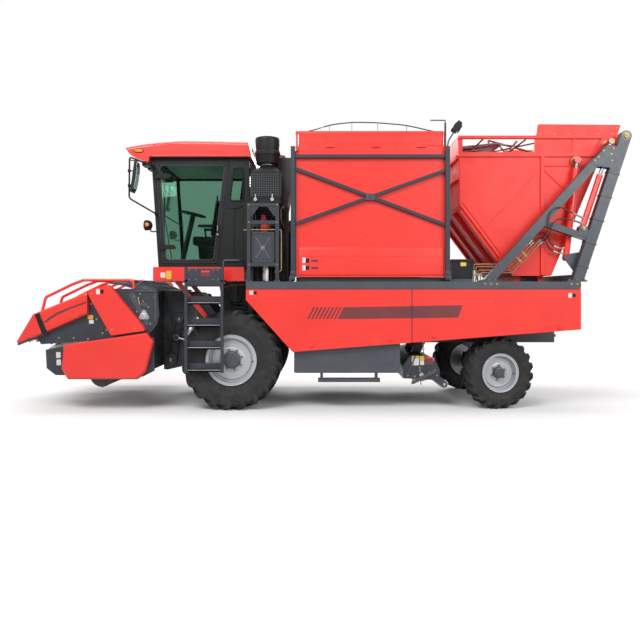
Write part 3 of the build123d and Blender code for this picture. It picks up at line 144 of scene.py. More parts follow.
# columns: colour, second tone, roughness, coat, metal, dust, grain, bump, shine, usual slot of the record
COATINGS = {
    "red": ((0.88, 0.026, 0.014), (0.80, 0.020, 0.011), 0.32, 0.35, 0.0, 0.05, 260, 0.02, 0.5, "red_paint"),
    "bin": ((0.86, 0.028, 0.017), (0.76, 0.022, 0.013), 0.50, 0.05, 0.0, 0.10, 260, 0.02, 0.5, "red_paint"),
    "maroon": ((0.16, 0.020, 0.022), (0.12, 0.015, 0.018), 0.35, 0.2, 0.0, 0.05, 260, 0.02, 0.5, "red_paint"),
    "slate": ((0.048, 0.058, 0.074), (0.038, 0.046, 0.059), 0.42, 0.1, 0.0, 0.10, 260, 0.02, 0.5, "grey_paint"),
    "storm": ((0.030, 0.035, 0.046), (0.024, 0.028, 0.037), 0.45, 0.05, 0.0, 0.08, 260, 0.02, 0.35, "grey_paint"),
    "dark": ((0.024, 0.028, 0.034), (0.017, 0.020, 0.025), 0.50, 0.0, 0.0, 0.22, 260, 0.02, 0.5, "dark_paint"),
    "plastic": ((0.007, 0.008, 0.009), (0.011, 0.012, 0.013), 0.45, 0.0, 0.0, 0.04, 700, 0.06, 0.22, "cab_black"),
    "iron": ((0.050, 0.050, 0.052), (0.030, 0.030, 0.032), 0.62, 0.0, 0.3, 0.3, 180, 0.12, 0.5, "engine_iron"),
    "steel": ((0.42, 0.42, 0.43), (0.30, 0.29, 0.28), 0.38, 0.0, 0.9, 0.2, 90, 0.05, 0.5, "bare_steel"),
    "chrome": ((0.22, 0.23, 0.25), (0.16, 0.17, 0.19), 0.22, 0.0, 1.0, 0.04, 400, 0.01, 0.5, "chrome_rod"),
    "rim": ((0.44, 0.46, 0.48), (0.36, 0.38, 0.40), 0.36, 0.1, 0.35, 0.10, 260, 0.02, 0.5, "rim_paint"),
    "rubber": ((0.014, 0.014, 0.015), (0.021, 0.021, 0.021), 0.72, 0.0, 0.0, 0.10, 420, 0.10, 0.35, "tyre_rubber"),
    "seat": ((0.020, 0.020, 0.022), (0.032, 0.032, 0.035), 0.85, 0.0, 0.0, 0.05, 900, 0.30, 0.5, "seat_fabric"),
    "zinc": ((0.24, 0.19, 0.11), (0.30, 0.25, 0.17), 0.42, 0.0, 0.7, 0.05, 300, 0.04, 0.5, "bare_steel"),
    "brass": ((0.40, 0.27, 0.13), (0.32, 0.21, 0.10), 0.45, 0.0, 0.4, 0.06, 300, 0.04, 0.5, "bare_steel"),
    "hose": ((0.016, 0.016, 0.017), (0.022, 0.022, 0.023), 0.55, 0.0, 0.0, 0.08, 800, 0.10, 0.5, "tyre_rubber"),
    "amber": ((0.85, 0.24, 0.02), (0.75, 0.18, 0.015), 0.18, 0.6, 0.0, 0.02, 260, 0.02, 0.5, "lamp_lens"),
    "white": ((0.72, 0.71, 0.68), (0.66, 0.65, 0.62), 0.40, 0.0, 0.0, 0.06, 260, 0.02, 0.5, "moulded_plastic"),
    "yellow": ((0.80, 0.52, 0.03), (0.72, 0.46, 0.03), 0.40, 0.0, 0.0, 0.05, 260, 0.02, 0.5, "grey_paint"),
    "lens": ((0.70, 0.72, 0.74), (0.60, 0.62, 0.64), 0.10, 0.8, 0.4, 0.02, 260, 0.02, 0.5, "lamp_lens"),
    "mirror": ((0.80, 0.82, 0.84), (0.78, 0.80, 0.82), 0.05, 0.0, 1.0, 0.02, 260, 0.0, 0.5, "chrome_rod"),
    "inside": ((0.060, 0.062, 0.066), (0.045, 0.047, 0.050), 0.60, 0.0, 0.0, 0.05, 600, 0.10, 0.5, "cab_black"),
    # roof lining: a real lining, but its pale blue-green colour is a painted reflection of the sky in the cab glass
    "sky_reflection_lining": ((0.66, 0.74, 0.74), (0.58, 0.66, 0.66), 0.75, 0.0, 0.0, 0.05, 500, 0.15, 0.5, "moulded_plastic"),
    "ribbed": ((0.045, 0.050, 0.056), (0.034, 0.038, 0.042), 0.40, 0.0, 0.0, 0.08, 700, 0.06, 0.5, "moulded_plastic"),
    "tank": ((0.036, 0.042, 0.049), (0.029, 0.034, 0.040), 0.42, 0.0, 0.0, 0.06, 700, 0.06, 0.4, "moulded_plastic"),
    # ridge highlight grey: a painted highlight for the light on the raised cross of the reserve tank
    "ridge_highlight_grey": ((0.15, 0.16, 0.17), (0.11, 0.12, 0.13), 0.55, 0.0, 0.0, 0.05, 700, 0.06, 0.5, "grey_paint"),
    "orange": ((0.62, 0.09, 0.02), (0.52, 0.07, 0.02), 0.35, 0.0, 0.0, 0.10, 260, 0.02, 0.5, "red_paint"),
    "blue": ((0.02, 0.06, 0.28), (0.015, 0.045, 0.20), 0.35, 0.0, 0.0, 0.12, 260, 0.02, 0.5, "grey_paint"),
}
PAINT = {key: (coating(key, *row[:-1]), row[-1]) for key, row in COATINGS.items()}
PAINT["glass"] = (glazing("glass", (0.30, 0.46, 0.38)), "cab_glass")

DRESS = {
    "red": "side_skirts cab_base cab_roof snouts side_guards ear_bin ear_flap lift_barrels tip_barrels "
           "crank_barrels",
    "bin": "silage_bin",
    "slate": "deck mast side_tanks ear_elevator",
    "storm": "shredder_hood header_frame bin_frame ladder tank_stand",
    "dark": "chassis_frame husking_bed front_axle rear_axle stalk_rotor feeder_house cross_auger "
            "knuckle_left knuckle_right",
    "plastic": "cab_frame cab_panels cab_door mirrors air_intake lamps",
    "tank": "reserve_tank",
    "inside": "steering_column cab_console",
    "seat": "cab_seat",
    "iron": "engine",
    "steel": "row_rolls gathering_chains tie_rod shredder_rotor shredder_roller",
    "chrome": "lift_rods tip_rods crank_rods",
    "glass": "cab_glazing door_glass",
    "rubber": "tyre_front_left tyre_front_right tyre_rear_left tyre_rear_right",
    "rim": "rim_front_left rim_front_right rim_rear_left rim_rear_right",
}
for paint, nodes in DRESS.items():
    for node in nodes.split():
        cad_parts[node].material_slots[0].material = PAINT[paint][0]


# Mesh building
def polar(count, radius=1.0, start=0.0):
    """Points round a circle."""
    angles = [2 * math.pi * (k + start) / count for k in range(count)]
    return [(radius * math.cos(a), radius * math.sin(a)) for a in angles]


def rounded(before, corner, after, radius, steps):
    """Points of a curve that rounds one corner."""
    start = corner + (before - corner).normalized() * radius
    end = corner + (after - corner).normalized() * radius
    shares = [k / steps for k in range(steps + 1)]
    return [start * (1 - t) ** 2 + corner * 2 * t * (1 - t) + end * t ** 2 for t in shares]


class Piece:
    """One dressing piece: geometry is added in millimetres, then finished onto a body."""

    def __init__(self, name, paint, body="machine", slot=None, side=1, place=None):
        self.name, self.body, self.side = name, body, side
        self.mat, usual = PAINT[paint]
        self.slot = slot or usual
        self.place = place or Matrix.Identity(4)
        self.bm = bmesh.new()

    def skin(self, rows):
        """Faces between rows of points, closed round and capped at both ends."""
        rows = [[self.bm.verts.new(Vector(point) * MM) for point in row] for row in rows]
        count = len(rows[0])
        for low, high in zip(rows, rows[1:]):
            for k in range(count):
                self.bm.faces.new((low[k], low[(k + 1) % count], high[(k + 1) % count], high[k]))
        self.bm.faces.new(rows[0][::-1])
        self.bm.faces.new(rows[-1])

    def prism(self, outline, y_from, y_to):
        """An (x, z) outline carried across the machine."""
        self.skin([[(x, y, z) for x, z in outline] for y in (y_from, y_to)])

    def prism_x(self, outline, x_from, x_to):
        """A (y, z) outline carried along the machine."""
        self.skin([[(x, y, z) for y, z in outline] for x in (x_from, x_to)])

    def box(self, low, high):
        (a, b, c), (d, e, f) = low, high
        self.prism([(a, c), (d, c), (d, f), (a, f)], b, e)

    def ring(self, start, end, radii, steps=24):
        """A turned piece between two points: radii is a list of (share of the run, radius)."""
        start, end = Vector(start), Vector(end)
        run = end - start
        turn = run.to_track_quat("Z", "Y").to_matrix()
        self.skin([[start + run * share + turn @ Vector((c, s, 0)) for c, s in polar(steps, radius)]
                   for share, radius in radii])

    def knob(self, x, z, y_from, y_to, radii, steps=24):
        """A piece turned about an axis across the machine."""
        self.ring((x, y_from, z), (x, y_to, z), radii, steps)

    def rod(self, start, end, radius, steps=16):
        self.ring(start, end, [(0, radius), (1, radius)], steps)

    def turned(self, centre, side, profile, steps=64):
        """A closed section of (radius, offset outwards) turned about an axle."""
        x, y, z = centre
        rows = [[self.bm.verts.new(Vector((x + r * c, y + side * out, z + r * s)) * MM) for r, out in profile]
                for c, s in polar(steps)]
        for low, high in zip(rows, rows[1:] + rows[:1]):
            for i in range(len(profile)):
                j = (i + 1) % len(profile)
                self.bm.faces.new((low[i], low[j], high[j], high[i]))

    def bolt(self, place, way, radius, height):
        """A hexagon head on a washer."""
        place, way = Vector(place), Vector(way)
        self.rod(place, place + way * (height * 0.25), radius * 1.45)
        self.ring(place, place + way * height, [(0, radius), (0.92, radius), (1, radius * 0.88)], 6)

    def bolts(self, spots, y, radius, height):
        """Bolt heads at (x, z) spots on a face across the machine."""
        for x, z in spots:
            self.bolt((x, y, z), (0, math.copysign(1, y), 0), radius, height)

    def across(self, way):
        """A direction square to a run, taken where the finished piece lies."""
        if self.side < 0:
            return (FLIP_WAY @ (FLIP_WAY @ way).orthogonal()).normalized()
        return way.orthogonal().normalized()

    def tube(self, route, radius, steps=10, bend=0, arc=6):
        """A tube along a route, mitred at its corners or bent round them."""
        route = [Vector(point) for point in route]
        if bend:
            corners = zip(route, route[1:], route[2:])
            route = route[:1] + [p for trio in corners for p in rounded(*trio, bend, arc)] + route[-1:]
        side = None
        rows = []
        for i, point in enumerate(route):
            ahead = (route[min(i + 1, len(route) - 1)] - point).normalized()
            way = (ahead + (point - route[max(i - 1, 0)]).normalized()).normalized()
            if side is None:
                side = self.across(way)
            side = (side - way * side.dot(way)).normalized()
            up = way.cross(side)
            rows.append([point + side * c + up * s for c, s in polar(steps, radius)])
        self.skin(rows)

    def loop(self, corners, y, radius, thick):
        """A closed tube round a rounded outline in side view."""
        corners = [Vector((x, y, z)) for x, z in corners]
        trios = zip(corners[-1:] + corners, corners, corners[1:] + corners[:1])
        points = [p for trio in trios for p in rounded(*trio, radius, 10)]
        self.tube(points + points[:1], thick, 8)

    def mirrored(self):
        """What was added so far, on the other side too."""
        copy = bmesh.ops.duplicate(self.bm, geom=self.bm.verts[:] + self.bm.edges[:] + self.bm.faces[:])["geom"]
        verts = [v for v in copy if isinstance(v, bmesh.types.BMVert)]
        bmesh.ops.transform(self.bm, matrix=FLIP, verts=verts)

    def done(self, bevel=2.0, smooth=35.0, segments=2):
        """The piece as an object on its body; side -1 is the left one of a pair."""
        if self.side < 0:
            self.bm.transform(FLIP)
        bmesh.ops.recalc_face_normals(self.bm, faces=self.bm.faces)
        self.bm.transform(self.place)
        obj = added(self.name, self.bm, self.mat)
        if bevel:
            mod = obj.modifiers.new("edges", "BEVEL")
            mod.width = bevel * MM
            mod.segments = segments
            mod.angle_limit = math.radians(smooth)
            mod.use_clamp_overlap = True
            mod.harden_normals = True
        else:
            mod = obj.modifiers.new("shade", "EDGE_SPLIT")
            mod.split_angle = math.radians(smooth)
        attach(obj, self.body)
        return obj


def linked(name, data):
    """A new object in the scene."""
    obj = bpy.data.objects.new(name, data)
    bpy.context.scene.collection.objects.link(obj)
    return obj


def added(name, bm, mat):
    """A smooth mesh object from built geometry."""
    mesh = bpy.data.meshes.new(name)
    bm.to_mesh(mesh)
    bm.free()
    mesh.materials.append(mat)
    for face in mesh.polygons:
        face.use_smooth = True
    return linked(name, mesh)


# Studio: the camera of the photograph, soft lamps, a white surround and a pale floor
camera = linked("camera", bpy.data.cameras.new("camera"))
camera.location = (-0.083, -10.2, 1.65)
camera.rotation_euler = (math.radians(90), 0, 0)
camera.data.sensor_width = 36.0
camera.data.lens = 36.0 * 643 / 640
camera.data.shift_y = -27 / 640
camera.data.clip_end = 200
bpy.context.scene.camera = camera
bpy.context.scene.view_settings.view_transform = "Standard"

# columns: name, place, aim, size, watts
LAMPS = [
    ("key", (-5.0, -9.5, 10.0), (0, 0, 1.8), (8, 5), 1150),
    ("fill", (7.0, -9.0, 6.0), (0.5, 0, 1.8), (6, 5), 520),
    ("top", (0, 1.0, 11.0), (0, 0, 2.0), (10, 5), 600),
    ("back", (2.0, 10.0, 7.0), (0, 0, 2.0), (8, 4), 700),
]
for name, place, aim, size, watts in LAMPS:
    light = bpy.data.lights.new(name, "AREA")
    light.shape = "RECTANGLE"
    light.size, light.size_y = size
    light.energy = watts
    lamp = linked(name, light)
    lamp.location = place
    lamp.rotation_euler = (Vector(aim) - Vector(place)).to_track_quat("-Z", "Y").to_euler()


def looked_at(tree):
    """1 where the camera, a reflection or a pane looks at a surface, else 0."""
    paths = tree.nodes.new("ShaderNodeLightPath").outputs
    mirrored = joined(tree, "MAXIMUM", paths["Is Camera Ray"], paths["Is Glossy Ray"])
    return joined(tree, "MAXIMUM", mirrored, paths["Is Transmission Ray"])


world = bpy.data.worlds.new("studio")
bpy.context.scene.world = world
world.use_nodes = True
sky = world.node_tree.nodes["Background"]
sky.inputs["Color"].default_value = (1, 1, 1, 1)
feed(world.node_tree, sky.inputs["Strength"], spread(world.node_tree, looked_at(world.node_tree), 0, 1, 0.42, 1.0))

floor_mesh = bpy.data.meshes.new("floor")
floor_mesh.from_pydata([(-60, -60, 0), (60, -60, 0), (60, 60, 0), (-60, 60, 0)], [], [(0, 1, 2, 3)])
floor = linked("floor", floor_mesh)
floor.location.z = -0.002
floor_mat, tree, floor_bsdf, coords = shader("floor")
pale = mixed(tree, spread(tree, noise(tree, coords, 0.8), 0.3, 0.7), (0.90, 0.90, 0.90), (0.93, 0.93, 0.93))
tree.links.new(mixed(tree, looked_at(tree), (0.40, 0.40, 0.40), pale), floor_bsdf.inputs["Base Color"])
floor_bsdf.inputs["Roughness"].default_value = 0.9
distance = tree.nodes.new("ShaderNodeVectorMath")
distance.operation = "LENGTH"
tree.links.new(coords, distance.inputs[0])
far = tree.nodes.new("ShaderNodeEmission")
tree.links.new(spread(tree, looked_at(tree), 0, 1, 0.42, 1.0), far.inputs["Strength"])
blend = tree.nodes.new("ShaderNodeMixShader")
tree.links.new(spread(tree, distance.outputs["Value"], 5.0, 9.0), blend.inputs["Fac"])
tree.links.new(floor_bsdf.outputs["BSDF"], blend.inputs[1])
tree.links.new(far.outputs["Emission"], blend.inputs[2])
tree.links.new(blend.outputs["Shader"], tree.nodes["Material Output"].inputs["Surface"])
floor_mesh.materials.append(floor_mat)

# Hydraulic hoses from the pipe ends on the mast brace to the lower ends of the tipping cylinders
# columns: name, route in millimetres, length in metres
HOSE_WIDE = 0.019
HOSES = [
    ("hose_upper_1", [(3063, -955, 2396), (3088, -966, 2420), (3108, -1005, 2445), (3120, -1065, 2480),
                      (3127, -1120, 2530), (3130, -1148, 2605), (3136, -1152, 2700), (3165, -1152, 2790),
                      (3220, -1152, 2845), (3290, -1147, 2862), (3370, -1132, 2838), (3450, -1110, 2800),
                      (3540, -1085, 2762), (3652, -1062, 2714)], 1.042),
    ("hose_upper_2", [(3088, -955, 2366), (3122, -962, 2398), (3145, -1010, 2425), (3155, -1080, 2455),
                      (3162, -1138, 2510), (3178, -1152, 2590), (3220, -1152, 2662), (3295, -1147, 2697),
                      (3370, -1132, 2700), (3450, -1110, 2688), (3525, -1085, 2672), (3628, -1062, 2640)], 0.851),
    ("hose_lower_1", [(2943, -955, 2386), (2985, -950, 2436), (3030, -948, 2490), (3090, -945, 2525),
                      (3150, -945, 2515), (3195, -945, 2460), (3222, -942, 2395), (3262, -940, 2340),
                      (3330, -937, 2308), (3430, -935, 2296)], 0.642),
    ("hose_lower_2", [(2963, -955, 2356), (3005, -955, 2400), (3045, -953, 2436), (3098, -951, 2452),
                      (3148, -950, 2430), (3180, -948, 2375), (3205, -946, 2315), (3248, -942, 2265),
                      (3320, -938, 2235), (3422, -935, 2220)], 0.593),
]
for name, route, length in HOSES:
    curve = bpy.data.curves.new(name, "CURVE")
    curve.dimensions = "3D"
    curve.bevel_depth = HOSE_WIDE / 2
    curve.bevel_resolution = 5
    curve.resolution_u = 10
    curve.use_fill_caps = True
    spline = curve.splines.new("NURBS")
    spline.points.add(len(route) - 1)
    for point, place in zip(spline.points, route):
        point.co = (*(Vector(place) * MM), 1)
    spline.order_u = 3
    spline.use_endpoint_u = True
    curve.materials.append(PAINT["hose"][0])
    hose = linked(name, curve)
    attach(hose, "machine")

# Wheels: hub caps, wheel bolts, dish rings and valve stems; the rear ones stand steered about their kingpins
# columns: body, axle centre, side, disc face, hub radius, bolt circle, bolts, dish radius, flange radius, bead face
WHEELS = [
    ("wheel_front_left", (-1330, -995, 705), -1, 102, 115, 146, 8, 268, 355, 178),
    ("wheel_front_right", (-1330, 995, 705), 1, 102, 115, 146, 8, 268, 355, 178),
    ("wheel_rear_left", (2425, -930, 512), -1, 42, 75, 104, 6, 205, 274, 123),
    ("wheel_rear_right", (2425, 930, 512), 1, 42, 75, 104, 6, 205, 274, 123),
]
REST_STEER = Matrix.Rotation(math.radians(10), 4, "Z")
for body, centre, side, disc, hub, circle, count, dish, flange, bead in WHEELS:
    turn = None
    if "rear" in body:
        kingpin = Vector((2425, side * 700, 0)) * MM
        turn = Matrix.Translation(kingpin) @ REST_STEER @ Matrix.Translation(-kingpin)
    x, y, z = centre
    face = y + side * disc
    p = Piece(f"{body}_hub_cap", "slate", body, "dark_paint", place=turn)
    p.knob(x, z, face, face + side * 64, [(0, hub + 9), (0.16, hub + 9), (0.2, hub + 2), (0.92, hub),
                                          (1, hub - 8)], 48)
    p.knob(x, z, face + side * 64, face + side * 70, [(0, hub - 20), (1, hub - 24)], 40)
    p.done(1.5)
    p = Piece(f"{body}_dish", "rim", body, place=turn)
    p.turned(centre, side, [(dish - 22, disc - 2), (dish - 20, disc + 8), (dish, disc + 14), (dish + 16, disc + 6),
                            (dish + 18, disc - 2)])
    p.turned(centre, side, [(flange - 6, bead - 2), (flange - 6, bead + 7), (flange + 2, bead + 10),
                            (flange + 6, bead + 3), (flange + 4, bead - 2)])
    p.turned(centre, side, [(hub + 12, disc - 1), (hub + 14, disc + 4), (circle + 26, disc + 5),
                            (circle + 34, disc - 1)])
    p.done(1.2, 50)
    p = Piece(f"{body}_bolts", "zinc", body, place=turn)
    for dx, dz in polar(count, circle, 0.35):
        p.bolts([(x + dx, z + dz)], face + side * 4, 13, 22)
        p.knob(x + dx, z + dz, face + side * 24, face + side * 36, [(0, 7.5), (0.85, 7.5), (1, 5)], 12)
    p.done(0.8)
    p = Piece(f"{body}_valve", "hose", body, place=turn)
    p.ring((x + dish + 30, face - side * 4, z - 20), (x + dish + 26, face + side * 44, z - 20),
           [(0, 9), (0.3, 8), (0.35, 5), (0.8, 5), (0.82, 6), (1, 6)], 12)
    p.done(0.5)

# Side skirts: slanted stripe bars, edge trim, screws and latches, the same on both sides
for name, side in HANDS.items():
    p = Piece(f"skirt_stripes_{name}", "maroon", side=side)
    bars = [[(x, 1288), (x + 27, 1288), (x + 112, 1452), (x + 85, 1452)] for x in range(-262, 162, 53)]
    bands = [[(160, 1286), (1193, 1298), (1193, 1466), (246, 1452)],
             [(1205, 1298), (1842, 1308), (1905, 1480), (1205, 1468)]]
    for shape in bars + bands:
        p.prism(shape, SKIRT_FACE, SKIRT_FACE + 1.2)
    p.done(0)
    p = Piece(f"skirt_trim_{name}", "dark", side=side)
    p.box((-1112, SKIRT_FACE, 1700), (3538, SKIRT_FACE + 5, 1714))
    p.box((1195, SKIRT_FACE - 3, 985), (1203, SKIRT_FACE + 1, 1700))
    p.done(1.5)
    p = Piece(f"skirt_screws_{name}", "red", side=side)
    p.bolts([(-1040 + k * 348, 1668) for k in range(14)], SKIRT_FACE, 7, 6)
    p.done(0.5)
    p = Piece(f"skirt_latches_{name}", "red", side=side)
    for x, z in ((-200, 915), (900, 1000), (1500, 1040), (3250, 1170)):
        p.knob(x, z, SKIRT_FACE, SKIRT_FACE + 14, [(0, 27), (0.5, 27), (1, 22)])
        p.box((x - 20, SKIRT_FACE + 10, z - 5), (x + 20, SKIRT_FACE + 20, z + 5))
    p.done(1.5)

# Blank labels with rounded corners on the left faces
# columns: name, paint, body, x, z, width, height, distance of the face
LABELS = [
    ("label_skirt_front_pale", "white", "machine", -1066, 1625, 52, 58, SKIRT_FACE),
    ("label_skirt_front_dark", "plastic", "machine", -1010, 1630, 46, 46, SKIRT_FACE),
    ("label_skirt_rear_pale", "white", "machine", 3376, 1585, 52, 66, SKIRT_FACE),
    ("label_skirt_rear_dark", "plastic", "machine", 3434, 1592, 46, 50, SKIRT_FACE),
    ("label_bin_pale_1", "white", "ear_bin", -340, 2072, 54, 76, 1161),
    ("label_bin_dark_1", "plastic", "ear_bin", -282, 2076, 48, 62, 1161),
    ("label_bin_pale_2", "white", "ear_bin", -340, 1968, 54, 72, 1161),
    ("label_bin_dark_2", "plastic", "ear_bin", -282, 1974, 48, 58, 1161),
    ("label_bin_text_1", "maroon", "ear_bin", -206, 2084, 96, 34, 1161),
    ("label_bin_text_2", "maroon", "ear_bin", -206, 1984, 96, 34, 1161),
    ("label_base_pale", "white", "machine", -2388, 1872, 70, 76, 900),
    ("label_base_yellow", "yellow", "machine", -2306, 1852, 72, 118, 900),
    ("label_box_yellow", "yellow", "machine", 1905, 2030, 80, 52, 1105),
    ("label_guard_pale", "white", "header", -3182, 1632, 52, 74, GUARD_FACE),
    ("label_guard_dark", "plastic", "header", -3124, 1640, 46, 58, GUARD_FACE),
    ("label_plate_yellow", "yellow", "header", -3330, 1282, 74, 60, HEAD_FACE),
    ("label_plate_pale", "white", "header", -3312, 1222, 66, 52, HEAD_FACE),
    ("label_shield_pale_1", "white", "header", -3772, 742, 62, 82, HEAD_FACE),
    ("label_shield_pale_2", "white", "header", -3766, 640, 62, 80, HEAD_FACE),
    ("ladder_plate", "maroon", "machine", -1728, 1878, 126, 84, 1318),
    ("ladder_plate_band", "red", "machine", -1724, 1936, 118, 22, 1318.6),
    ("label_shredder_yellow", "yellow", "machine", 1226, 726, 112, 24, SHREDDER_FACE),
    ("label_shredder_pale", "white", "machine", 1230, 616, 104, 106, SHREDDER_FACE),
    ("label_shredder_side", "yellow", "machine", 1344, 690, 66, 60, SHREDDER_FACE),
    ("label_shredder_low", "white", "machine", 1348, 620, 58, 66, SHREDDER_FACE),
    ("label_shredder_red", "maroon", "machine", 1420, 626, 124, 84, SHREDDER_FACE),
    ("label_shredder_band", "red", "machine", 1424, 712, 116, 26, SHREDDER_FACE),
]
for name, paint, body, x, z, wide, high, face in LABELS:
    p = Piece(name, paint, body, "grey_paint", side=-1)
    radius = min(wide, high) * 0.14
    outline = []
    for k, (right, upper) in enumerate(((1, 1), (0, 1), (0, 0), (1, 0))):
        cx = x + wide - radius if right else x + radius
        cz = z + high - radius if upper else z + radius
        quarter = polar(12, radius)[3 * k:3 * k + 3] + polar(4, radius, k + 1)[:1]
        outline += [(cx + dx, cz + dz) for dx, dz in quarter]
    p.prism(outline, face, face + 1)
    p.done(0)

# Pipes from the deck valve up the left mast brace, their clamps, and the crimped ends of the hoses
PIPE_Y = -955
PIPES = [
    [(2127, 1812), (2127, 2064), (2624, 2064), (2943, 2386)],
    [(2157, 1812), (2157, 2028), (2641, 2028), (2963, 2356)],
    [(2188, 1812), (2188, 1979), (2661, 1979), (3063, 2396)],
    [(2222, 1812), (2222, 1943), (2681, 1943), (3088, 2366)],
]
p = Piece("mast_pipes", "brass")
for route in PIPES:
    p.tube([(x, PIPE_Y, z) for x, z in route], 8.5, 12, bend=34)
p.done(0, 60)
p = Piece("hose_fittings", "steel")
for name, route, length in HOSES:
    first, second = Vector(route[0]), Vector(route[1])
    way = (second - first).normalized()
    p.ring(first - way * 46, first + way * 34,
           [(0, 15), (0.36, 15), (0.38, 11), (0.46, 11), (0.48, 16), (0.97, 16), (1, 14)], 18)
    end = Vector(route[-2])
    back = (Vector(route[-3]) - end).normalized()
    p.ring(end + back * 50, end - back * 22,
           [(0, 14), (0.03, 16), (0.6, 16), (0.62, 11), (0.7, 11), (0.72, 17), (1, 17)], 18)
p.done(0.8)
# columns: body, hose end, port on the barrel
PORTS = [
    ("crank_barrels", (3556, -1080, 2755), (3668, -1062, 2712)),
    ("crank_barrels", (3542, -1080, 2673), (3640, -1062, 2640)),
    ("tip_barrels", (3362, -935, 2298), (3440, -935, 2296)),
    ("tip_barrels", (3362, -938, 2222), (3434, -935, 2220)),
]
for k, (body, start, end) in enumerate(PORTS):
    p = Piece(f"ram_port_{k + 1}", "steel", body)
    p.ring(start, end, [(0, 13), (0.15, 13), (0.18, 10), (0.5, 10), (0.52, 15), (0.75, 15), (0.78, 18),
                        (1, 18)], 18)
    p.done(0.8)
p = Piece("pipe_clamps", "zinc")
run, across = Vector((1, 0, 1.02)).normalized(), Vector((-1.02, 0, 1)).normalized()
for x, z in ((2838, 2222), (2760, 2144)):
    middle = Vector((x, PIPE_Y, z))
    corners = [middle + across * a + run * b for a, b in ((-66, -14), (66, -14), (66, 14), (-66, 14))]
    for near, far in ((-14, -11), (11, 14)):
        p.skin([[corner + Vector((0, y, 0)) for corner in corners] for y in (near, far)])
    p.bolts([(x, z)], PIPE_Y - 14, 8, 9)
    p.rod(middle, middle + across * 135 + Vector((0, -56, 0)), 7)
for y in (-972, -944):
    p.box((2110, y, 1900), (2238, y + 6, 1926))
p.box((2170, -944, 1830), (2182, -938, 1900))
p.done(1.0)

# Mast: foot bolts, pin heads, gusset bolts, and the caps on the eyes of the cylinder rods
GUSSET_BOLTS = [(3800, 3520), (3850, 3570), (4040, 3520), (4030, 3610), (4060, 3690), (3920, 3660)]
for name, side in HANDS.items():
    p = Piece(f"mast_bolts_{name}", "zinc", side=side)
    for x in (3432, 3540, 3648, 2212, 2300, 2388):
        p.bolt((x, 1138, 1830), (0, 0, 1), 13, 16)
    p.bolts([(x, 1775) for x in (3420, 3505, 2216, 2300, 2384)], SKIRT_FACE, 12, 14)
    p.knob(4245, 3873, MAST_FACE - 6, MAST_FACE + 26, [(0, 58), (0.3, 58), (0.34, 44), (0.94, 44), (1, 38)], 32)
    p.bolts([(4245, 3873)], MAST_FACE + 24, 15, 14)
    p.bolts([(3642, 2568)], MAST_FACE - 3, 24, 22)
    p.bolts(GUSSET_BOLTS, MAST_FACE, 11, 12)
    p.done(0.8)
    p = Piece(f"crank_pin_head_{name}", "zinc", "silage_bin", side=side)
    p.knob(4054, 3804, 876, 898, [(0, 52), (0.5, 52), (0.55, 42), (1, 40)], 28)
    p.knob(3620, 3563, 880, 892, [(0, 66), (0.5, 66), (1, 60)], 28)
    p.done(0.8)
    p = Piece(f"tip_eye_cap_{name}", "red", "tip_rods", side=side)
    p.knob(3620, 3563, 958, 976, [(0, 50), (0.6, 50), (1, 44)], 32)
    p.done(0, 30)
    p = Piece(f"tip_eye_bolts_{name}", "zinc", "tip_rods", side=side)
    p.bolts([(3600, 3563), (3640, 3563)], 975, 10, 8)
    p.done(0.5)
    p = Piece(f"crank_eye_cap_{name}", "zinc", "crank_rods", side=side)
    p.knob(4054, 3804, 1083, 1094, [(0, 46), (0.5, 46), (1, 40)], 32)
    p.done(0, 30)

# Ear bin: lap seams, stepped lower panel, rim flanges, corner angles, hinge lugs, edge strips and inner ribs
p = Piece("ear_bin_seams", "red", "ear_bin")
p.box((-421, EAR_FACE, 3158), (1690, EAR_FACE + 4, 3172))
for x in (-421, 1662):
    p.box((x, EAR_FACE, 1880), (x + 28, EAR_FACE + 3, 3700))
p.prism_x([(EAR_FACE, 2292), (1161, 2262), (1161, 1908), (EAR_FACE, 1898)], -380, 1650)
# columns: low x, low z, high x, high z
PANEL_STRIPS = [(-340, 2160, 1610, 2168), (-340, 1936, 1610, 1944), (-340, 1936, -332, 2168),
                (1602, 1936, 1610, 2168)]
for x0, z0, x1, z1 in PANEL_STRIPS:
    p.box((x0, 1161, z0), (x1, 1164, z1))
p.mirrored()
for x in (-421, 1659):
    p.box((x, -1196, 3640), (x + 31, -1150, 3716))
    p.rod((x - 2, -1174, 3690), (x + 33, -1174, 3690), 17)
    p.box((x, -1152, 3716), (x + 31, -1144, 3928))
p.box((-421, EAR_FACE, 3890), (1690, EAR_FACE + 8, 3930))
for x, near, far in ((-429, -427, -421), (1690, 1690, 1696)):
    p.box((x, -1110, 3892), (x + 8, EAR_FACE, 3930))
    for z in (2700, 3158):
        p.box((near, -1110, z), (far, 1110, z + 14))
p.done(2.0)
p = Piece("ear_bin_edge_strips", "dark", "ear_bin")
for x in (-433, 1674):
    p.box((x, -1186, 1900), (x + 14, -1149, 3640))
    p.box((x + 2, -1150, 1876), (x + 12, -1120, 1902))
p.done(2)
p = Piece("ear_flap_flange", "red", "ear_flap")
p.prism_x([(-1150, 3930), (-1155, 3922), (-1155, 3886), (-1150, 3880)], -384, 1653)
p.prism_x([(-1150, 3748), (-1154, 3744), (-1154, 3728), (-1150, 3726)], -384, 1653)
for x in (-384, 300, 960, 1641):
    p.box((x, -1153, 3748), (x + 12, -1150, 3880))
p.done(2.0)
p = Piece("ear_bin_bow", "slate", "ear_bin")
BOW = [(-406, 3930), (-150, 3985), (50, 4055), (372, 4094), (742, 4087), (1155, 4050), (1675, 3930)]
p.tube([(x, -1000, z) for x, z in BOW], 9, 10, bend=120, arc=5)
for x, z in ((50, 4050), (372, 4090), (742, 4084), (1155, 4046)):
    p.rod((x, -1000, z), (x, -1040, 3925), 4, 8)
for x0, x1, z in ((50, 1155, 3925), (-391, 50, 3927), (1155, 1660, 3927)):
    p.tube([(x0, -1040, z), (x1, -1040, z)], 5, 8)
